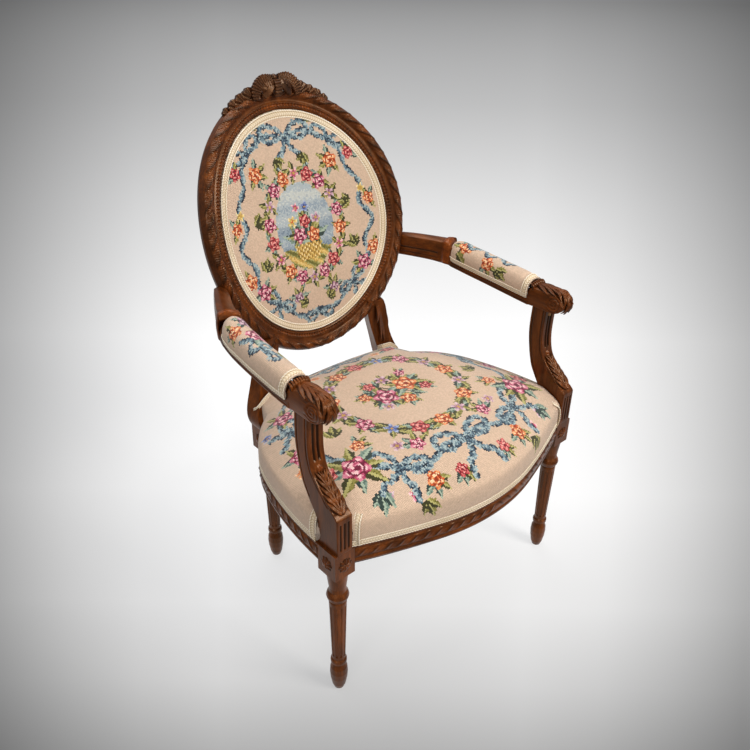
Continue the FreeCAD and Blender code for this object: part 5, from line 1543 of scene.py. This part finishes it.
def ribbon_bar(points, width, thick, twist, pleats, deep):
    """A carved ribbon in the oval's axes: a flat bar whose width lies across its path."""
    count = RIBBON_ROWS
    line = smooth_curve(points, count=count)
    path = oval_world(line[:, 0], line[:, 1], line[:, 2])
    ahead = unit(np.gradient(path, axis=0))
    face = repeated(AXIS_W, count)
    across = unit(np.cross(ahead, face))
    face = np.cross(across, ahead)
    angle = np.radians(twist) * np.linspace(0, 1, count)[:, None]
    turned_across = across * np.cos(angle) + face * np.sin(angle)
    turned_face = -across * np.sin(angle) + face * np.cos(angle)
    share = np.linspace(0, 1, count)
    size = np.clip(np.minimum(share, 1 - share) / 0.08, 0.35, 1)[:, None, None]
    loop = softened(SQUARE, 0.12, 2)
    loops = np.broadcast_to(loop * [width / 2, thick / 2], (count, len(loop), 2)) * size
    arc = share[:, None] * np.linalg.norm(np.diff(path, axis=0), axis=1).sum()
    relief = deep * np.sin(arc * 2 * np.pi / pleats) * np.ones(len(loop))[None]
    return bar_part(path, turned_across, turned_face, loops, relief)


def ribbed_arch(side):
    """A pleated loop of ribbon that lies in the oval's plane, with its pleats across it."""
    line = smooth_curve([(50, 246), (48, 260), (40, 273), (26, 281), (8, 283)], count=90)
    heading = unit(np.gradient(line, axis=0))
    outward = np.column_stack([-heading[:, 1], heading[:, 0]])
    outward = np.where((outward[:, 1:] < 0), -outward, outward)
    share = np.linspace(0, 1, len(line))
    arc = share * 72.0
    width = np.interp(share, [0, 0.25, 0.7, 1], [13, 20, 20, 12])
    pleat = 1.5 * np.abs(np.sin(np.pi * arc / 5.6)) - 0.9
    lift = np.interp(share, [0, 0.4, 1], [12, 17, 16])
    loop = softened(SQUARE, 0.12, 2)
    loops = loop[None] * np.column_stack([width / 2, np.full(len(line), 4.2)])[:, None]
    front = (loop[:, 1] > 0.4).astype(float) + (np.abs(loop[:, 0]) > 0.8) * 0.8
    path = oval_world(line[:, 0] * side, line[:, 1], lift)
    across = outward[:, :1] * side * AXIS_U + outward[:, 1:] * AXIS_V
    return bar_part(path, across, repeated(AXIS_W, len(line)), loops, front[None] * pleat[:, None])


def crest():
    parts = []
    for side in (-1, 1):
        parts.append(ribbed_arch(side))
        parts.append(ribbon_bar(np.array(CREST_LOOP) * [side, 1, 1], 8.0, 5.0, 25 * side, 9.0, 0.3))
        parts.append(ribbon_bar(np.array(CREST_BAND) * [side, 1, 1], 12.0, 5.0, 10 * side, 20.0, 0.2))
        for u, v, size in CREST_CURLS:
            turn = math.atan2(-(u / HALF_U**2), v / HALF_V**2)
            path = [(side * (u + size * (a * math.cos(turn) - b * math.sin(turn))),
                     v + size * (a * math.sin(turn) + b * math.cos(turn)), 2 + size * c) for a, b, c in CURL]
            parts.append(ribbon_bar(path, size * 1.25, size * 0.8, 0, 6.5, 0.6))
    parts.append(ribbon_bar(CREST_KNOT, 15.0, 9.0, 0, 5.0, 0.7))
    ball = np.linspace(0.02, np.pi - 0.02, BALL_ROWS)
    axis = oval_world(np.zeros(BALL_ROWS), 283 - BALL_RADIUS * np.cos(ball), np.full(BALL_ROWS, 14.0))
    loops = circle(24)[None] * (BALL_RADIUS * np.sin(ball))[:, None, None]
    parts.append(bar_part(axis, repeated(AXIS_U, BALL_ROWS), repeated(AXIS_W, BALL_ROWS), loops))
    piece = add_bar("carved_crest_ribbon", parts, walnut_dark)
    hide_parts("crest_ribbon")


crest()


# Rosettes on the leg blocks

def rosette_part(centre, normal, upward, radius=15.0, depth=4.5, petals=8):
    """A round carved flower on a flat face."""
    rings, around = 22, 72
    share = np.linspace(0, 1, rings)[:, None]
    angle = np.linspace(0, 2 * np.pi, around, endpoint=False)[None, :]
    petal = np.abs(np.cos(petals / 2 * angle))
    edge = radius * (0.84 + 0.16 * petal)
    height = depth * (np.sin(np.pi * share**0.8) ** 0.6 * (0.45 + 0.55 * petal) * (1 - 0.35 * share))
    heart = np.sqrt(np.maximum(1 - (share / 0.24) ** 2, 0)) * depth * 1.05
    height = np.maximum(height * (share > 0.2), heart) * (share < 0.995) - 0.3
    sideways = np.cross(upward, normal)
    points = (
        centre + (edge * share * np.cos(angle))[..., None] * sideways
        + (edge * share * np.sin(angle))[..., None] * upward + height[..., None] * normal
    )
    groups = [grid_faces(rings, around, True)]
    # The returned values paint shade: the flower's low parts darker, its raised petals and heart lighter.
    return points.reshape(-1, 3), groups, (height * 0.8 - 1.2).ravel()


BLOCK_MIDDLE_Z = (RAIL_TOP + 297) / 2


def rosettes(word, side):
    sideways = np.array([side * 1.0, 0.0, 0.0])
    faces = (((side * POST_X, FOOT_FRONT), np.array([0.0, -1.0, 0.0])),
             ((side * 320.7, -240.0), sideways), ((side * 203.5, 131.0), sideways))
    parts = [rosette_part(np.array([*place, BLOCK_MIDDLE_Z]), normal, np.array(UP))
             for place, normal in faces]
    add_bar(f"{word}_leg_rosettes", parts, walnut_carved)


for side, word in ((-1, "left"), (1, "right")):
    rosettes(word, side)


# Leaves on the stiles and knobs beside the ring

STILE_STATIONS = [(182, 134, 352, 43, 46, 0), (171, 161, 402, 50, 32, 8), (157, 169, 455, 43, 29, 15),
                  (147, 169, 502, 46, 27, 17), (141, 165, 532, 36, 20, 17)]
STILE_BLADES = [
    # start and end across the face as shares of its half width, start and end heights, width
    (-0.1, -0.75, 520, 430, 11), (0.15, -0.35, 524, 426, 11), (0.35, 0.1, 520, 424, 11),
    (0.5, 0.55, 512, 428, 10),
    (-0.45, -0.8, 520, 478, 8), (0.7, 0.85, 500, 452, 8), (0.1, 0.3, 470, 424, 8),
]


KNOB_ROWS = 10


def stile_point(side, across, z, lift):
    columns = np.array(STILE_STATIONS, float).T
    x, y, width, depth, turn = (np.interp(z, columns[2], columns[index]) for index in (0, 1, 3, 4, 5))
    angle = math.radians(turn)
    right = np.array([math.cos(angle), math.sin(angle)])
    ahead = np.array([math.sin(angle), -math.cos(angle)])
    place = np.array([x, y]) + right * across * width / 2 + ahead * (depth / 2 + lift)
    return np.array([side * place[0], place[1], z])


def stile_carving(word, side):
    parts = []
    steps = [(0, 0.2), (0.3, 1.4), (0.7, 1.5), (1, 0.2)]
    for start, end, high, low, width in STILE_BLADES:
        path = [stile_point(side, start + (end - start) * share + 0.12 * math.sin(3.1 * share),
                            high + (low - high) * share, lift) for share, lift in steps]
        parts.append(blade_part(path, (side * 0.25, -0.96, 0.1), width, 2.0, 0.9))
    centre = np.array([side * 163.0, 160.0, 505.0])
    facing = unit(np.array([side * 0.55, -0.83, 0.1]))
    parts.append(rosette_part(centre + facing, facing, np.array([0.0, 0.12, 0.99]), 12.0, 4.0, 0))
    swell = np.linspace(0.05, np.pi / 2, KNOB_ROWS)
    axis = centre + facing * (-8.0 * np.cos(swell) + 1.5)[:, None]
    sideways = unit(np.cross(UP, facing))
    loops = circle(36)[None] * (12.5 * np.sin(swell) ** 0.6)[:, None, None]
    upward = np.cross(facing, sideways)
    parts.append(bar_part(axis, repeated(sideways, KNOB_ROWS), repeated(upward, KNOB_ROWS), loops))
    add_bar(f"{word}_stile_carving", parts, walnut_carved)


for side, word in ((-1, "left"), (1, "right")):
    stile_carving(word, side)


# Materials of the pieces that come from the frame as they are

NODE_MATERIALS = {
    "walnut": walnut_up, "beech": beech, "steel": iron, "jute": jute, "hessian": hessian,
    "horsehair": hair, "plain_cloth": back_cloth, "cambric": cambric, "gimp": braid_cloth,
    "needlepoint": wool,
}
SIDEWAYS = ("back_rail",)
node_slots = {entry["node"]: entry["material_slot"] for entry in frame["record"]["subparts"]}
for node, item in frame["nodes"].items():
    chosen = walnut_side if node in SIDEWAYS else NODE_MATERIALS[node_slots[node]]
    item.data.materials.clear()
    item.data.materials.append(chosen)


# Floor, lamps, world and camera

FLOOR_REACH = 60.0
# The painted beam of light on the floor, in metres: heading, half width at the chair, how it widens, least
# half width
BEAM_TURN, BEAM_HALF, BEAM_WIDENS, BEAM_LEAST = 42, 0.85, 0.43, 0.5
BEAM_FADE, FAR_START, FAR_LENGTH, NEAR_SHIFT = 1.4, 0.9, 14.0, 0.6
# The painted beam's share in the floor's colour for direct rays, the even grey for other rays, and the
# strength of the floor's painted glow.
FLOOR_BOUNCE, FLOOR_TONE, FLOOR_GLOW = (0.34, 0.34, 0.34, 1), (0.4, 0.4, 0.4, 1), 0.7


def floor():
    """A pale floor with a wide beam of light painted on it, and glowing with it: white round the chair,
    greyer away from it.
    """
    nodes = Nodes("floor_with_painted_beam")
    place = nodes.add("ShaderNodeTexCoord")
    turned_place = nodes.add("ShaderNodeMapping")
    turned_place.inputs["Rotation"].default_value = (0, 0, math.radians(BEAM_TURN))
    nodes.link(place.outputs["Object"], turned_place.inputs["Vector"])
    parts = nodes.add("ShaderNodeSeparateXYZ")
    nodes.link(turned_place.outputs[0], parts.inputs[0])
    sideways, onward = parts.outputs[0], parts.outputs[1]
    widened = nodes.math("ADD", nodes.math("MULTIPLY", onward, BEAM_WIDENS), BEAM_HALF)
    half = nodes.math("MAXIMUM", widened, BEAM_LEAST)
    beside = nodes.math("DIVIDE", nodes.math("ABSOLUTE", sideways), half)
    across = nodes.grey_ramp(
        nodes.math("DIVIDE", beside, BEAM_FADE, clamp=True),
        [(0.3, 1), (0.46, 0.86), (0.6, 0.66), (0.74, 0.44), (1.0, 0.36)],
    )
    beyond = nodes.math("DIVIDE", nodes.math("SUBTRACT", onward, FAR_START), FAR_LENGTH, clamp=True)
    far = nodes.math("POWER", beyond, 0.5)
    along = nodes.grey_ramp(far, [(0.1, 1), (0.34, 0.82), (0.55, 0.62), (1.0, 0.34)])
    near = nodes.grey_ramp(
        nodes.math("ADD", onward, NEAR_SHIFT, clamp=True),
        [(0.04, 0.36), (0.22, 0.62), (0.42, 0.84), (0.8, 1)],
    )
    painted_beam = nodes.mix(1.0, nodes.mix(1.0, across, along, "MULTIPLY"), near, "MULTIPLY")
    # Camera, glossy and transmission rays see the painted beam as colour and as a glow, though the floor is
    # no lamp; other rays see an even grey.
    path = nodes.add("ShaderNodeLightPath")
    direct = nodes.math("MAXIMUM", path.outputs["Is Camera Ray"], path.outputs["Is Glossy Ray"])
    direct = nodes.math("MAXIMUM", direct, path.outputs["Is Transmission Ray"])
    painted_beam_albedo = nodes.mix(1.0, painted_beam, FLOOR_BOUNCE, "MULTIPLY")
    nodes.link(nodes.mix(direct, FLOOR_TONE, painted_beam_albedo), nodes.shader.inputs["Base Color"])
    nodes.link(painted_beam, nodes.shader.inputs["Emission Color"])
    nodes.link(nodes.math("MULTIPLY", direct, FLOOR_GLOW), nodes.shader.inputs["Emission Strength"])
    nodes.set(Roughness=0.95, Specular_IOR_Level=0.0)
    mesh = bpy.data.meshes.new("floor")
    mesh.from_pydata([(x * FLOOR_REACH, y * FLOOR_REACH, 0) for x, y in SQUARE], [], [(0, 1, 2, 3)])
    mesh.materials.append(nodes.material)
    plane = bpy.data.objects.new("floor", mesh)
    bpy.context.scene.collection.objects.link(plane)


def lamp(name, place, target, size, power, tint):
    data = bpy.data.lights.new(name, "AREA")
    data.shape = "RECTANGLE"
    data.size, data.size_y = size
    data.energy = power
    data.color = tint
    item = bpy.data.objects.new(name, data)
    item.location = place
    item.rotation_mode = "QUATERNION"
    item.rotation_quaternion = (Vector(target) - Vector(place)).to_track_quat("-Z", "Y")
    bpy.context.scene.collection.objects.link(item)


floor()
LAMPS = [
    # name, place, target, size, power and tint
    ("key", (0.9, -2.6, 2.7), (0, 0, 0.5), (1.3, 1.1), 84, (1, 0.97, 0.93)),
    ("side", (-2.6, -1.4, 2.2), (0, 0, 0.5), (1.2, 1.2), 26, (1, 1, 1)),
    ("top", (0.2, 0.6, 3.2), (0, 0, 0.3), (2.2, 2.2), 48, (1, 1, 1)),
]
WORLD_COLOUR, WORLD_STRENGTH = (0.95, 0.96, 1.0, 1), 0.34
for settings in LAMPS:
    lamp(*settings)
world = bpy.data.worlds.new("studio")
world.use_nodes = True
background = world.node_tree.nodes["Background"]
background.inputs[0].default_value = WORLD_COLOUR
background.inputs[1].default_value = WORLD_STRENGTH
bpy.context.scene.world = world
bpy.context.scene.view_settings.view_transform = "Standard"

CAMERA_PLACE = (-0.9009, -0.9999, 1.2545)
CAMERA_AZIMUTH, CAMERA_DOWN, CAMERA_ROLL = -41.98, 30.47, 0.85
SENSOR, FRAME_PIXELS, FOCAL_PIXELS = 36.0, 750.0, 768.52


def camera():
    data = bpy.data.cameras.new("camera")
    data.sensor_width = SENSOR
    data.lens = FOCAL_PIXELS / FRAME_PIXELS * SENSOR
    item = bpy.data.objects.new("camera", data)
    turn, down, roll = (math.radians(value) for value in (CAMERA_AZIMUTH, CAMERA_DOWN, CAMERA_ROLL))
    right = Vector((math.cos(turn), math.sin(turn), 0))
    ahead = Vector((-math.sin(turn) * math.cos(down), math.cos(turn) * math.cos(down), -math.sin(down)))
    upright = right.cross(ahead)
    rolled_right = right * math.cos(roll) + upright * math.sin(roll)
    rolled_up = upright * math.cos(roll) - right * math.sin(roll)
    axes = Matrix((rolled_right, rolled_up, -ahead)).transposed()
    item.matrix_world = Matrix.Translation(CAMERA_PLACE) @ axes.to_4x4()
    bpy.context.scene.collection.objects.link(item)
    bpy.context.scene.camera = item


camera()
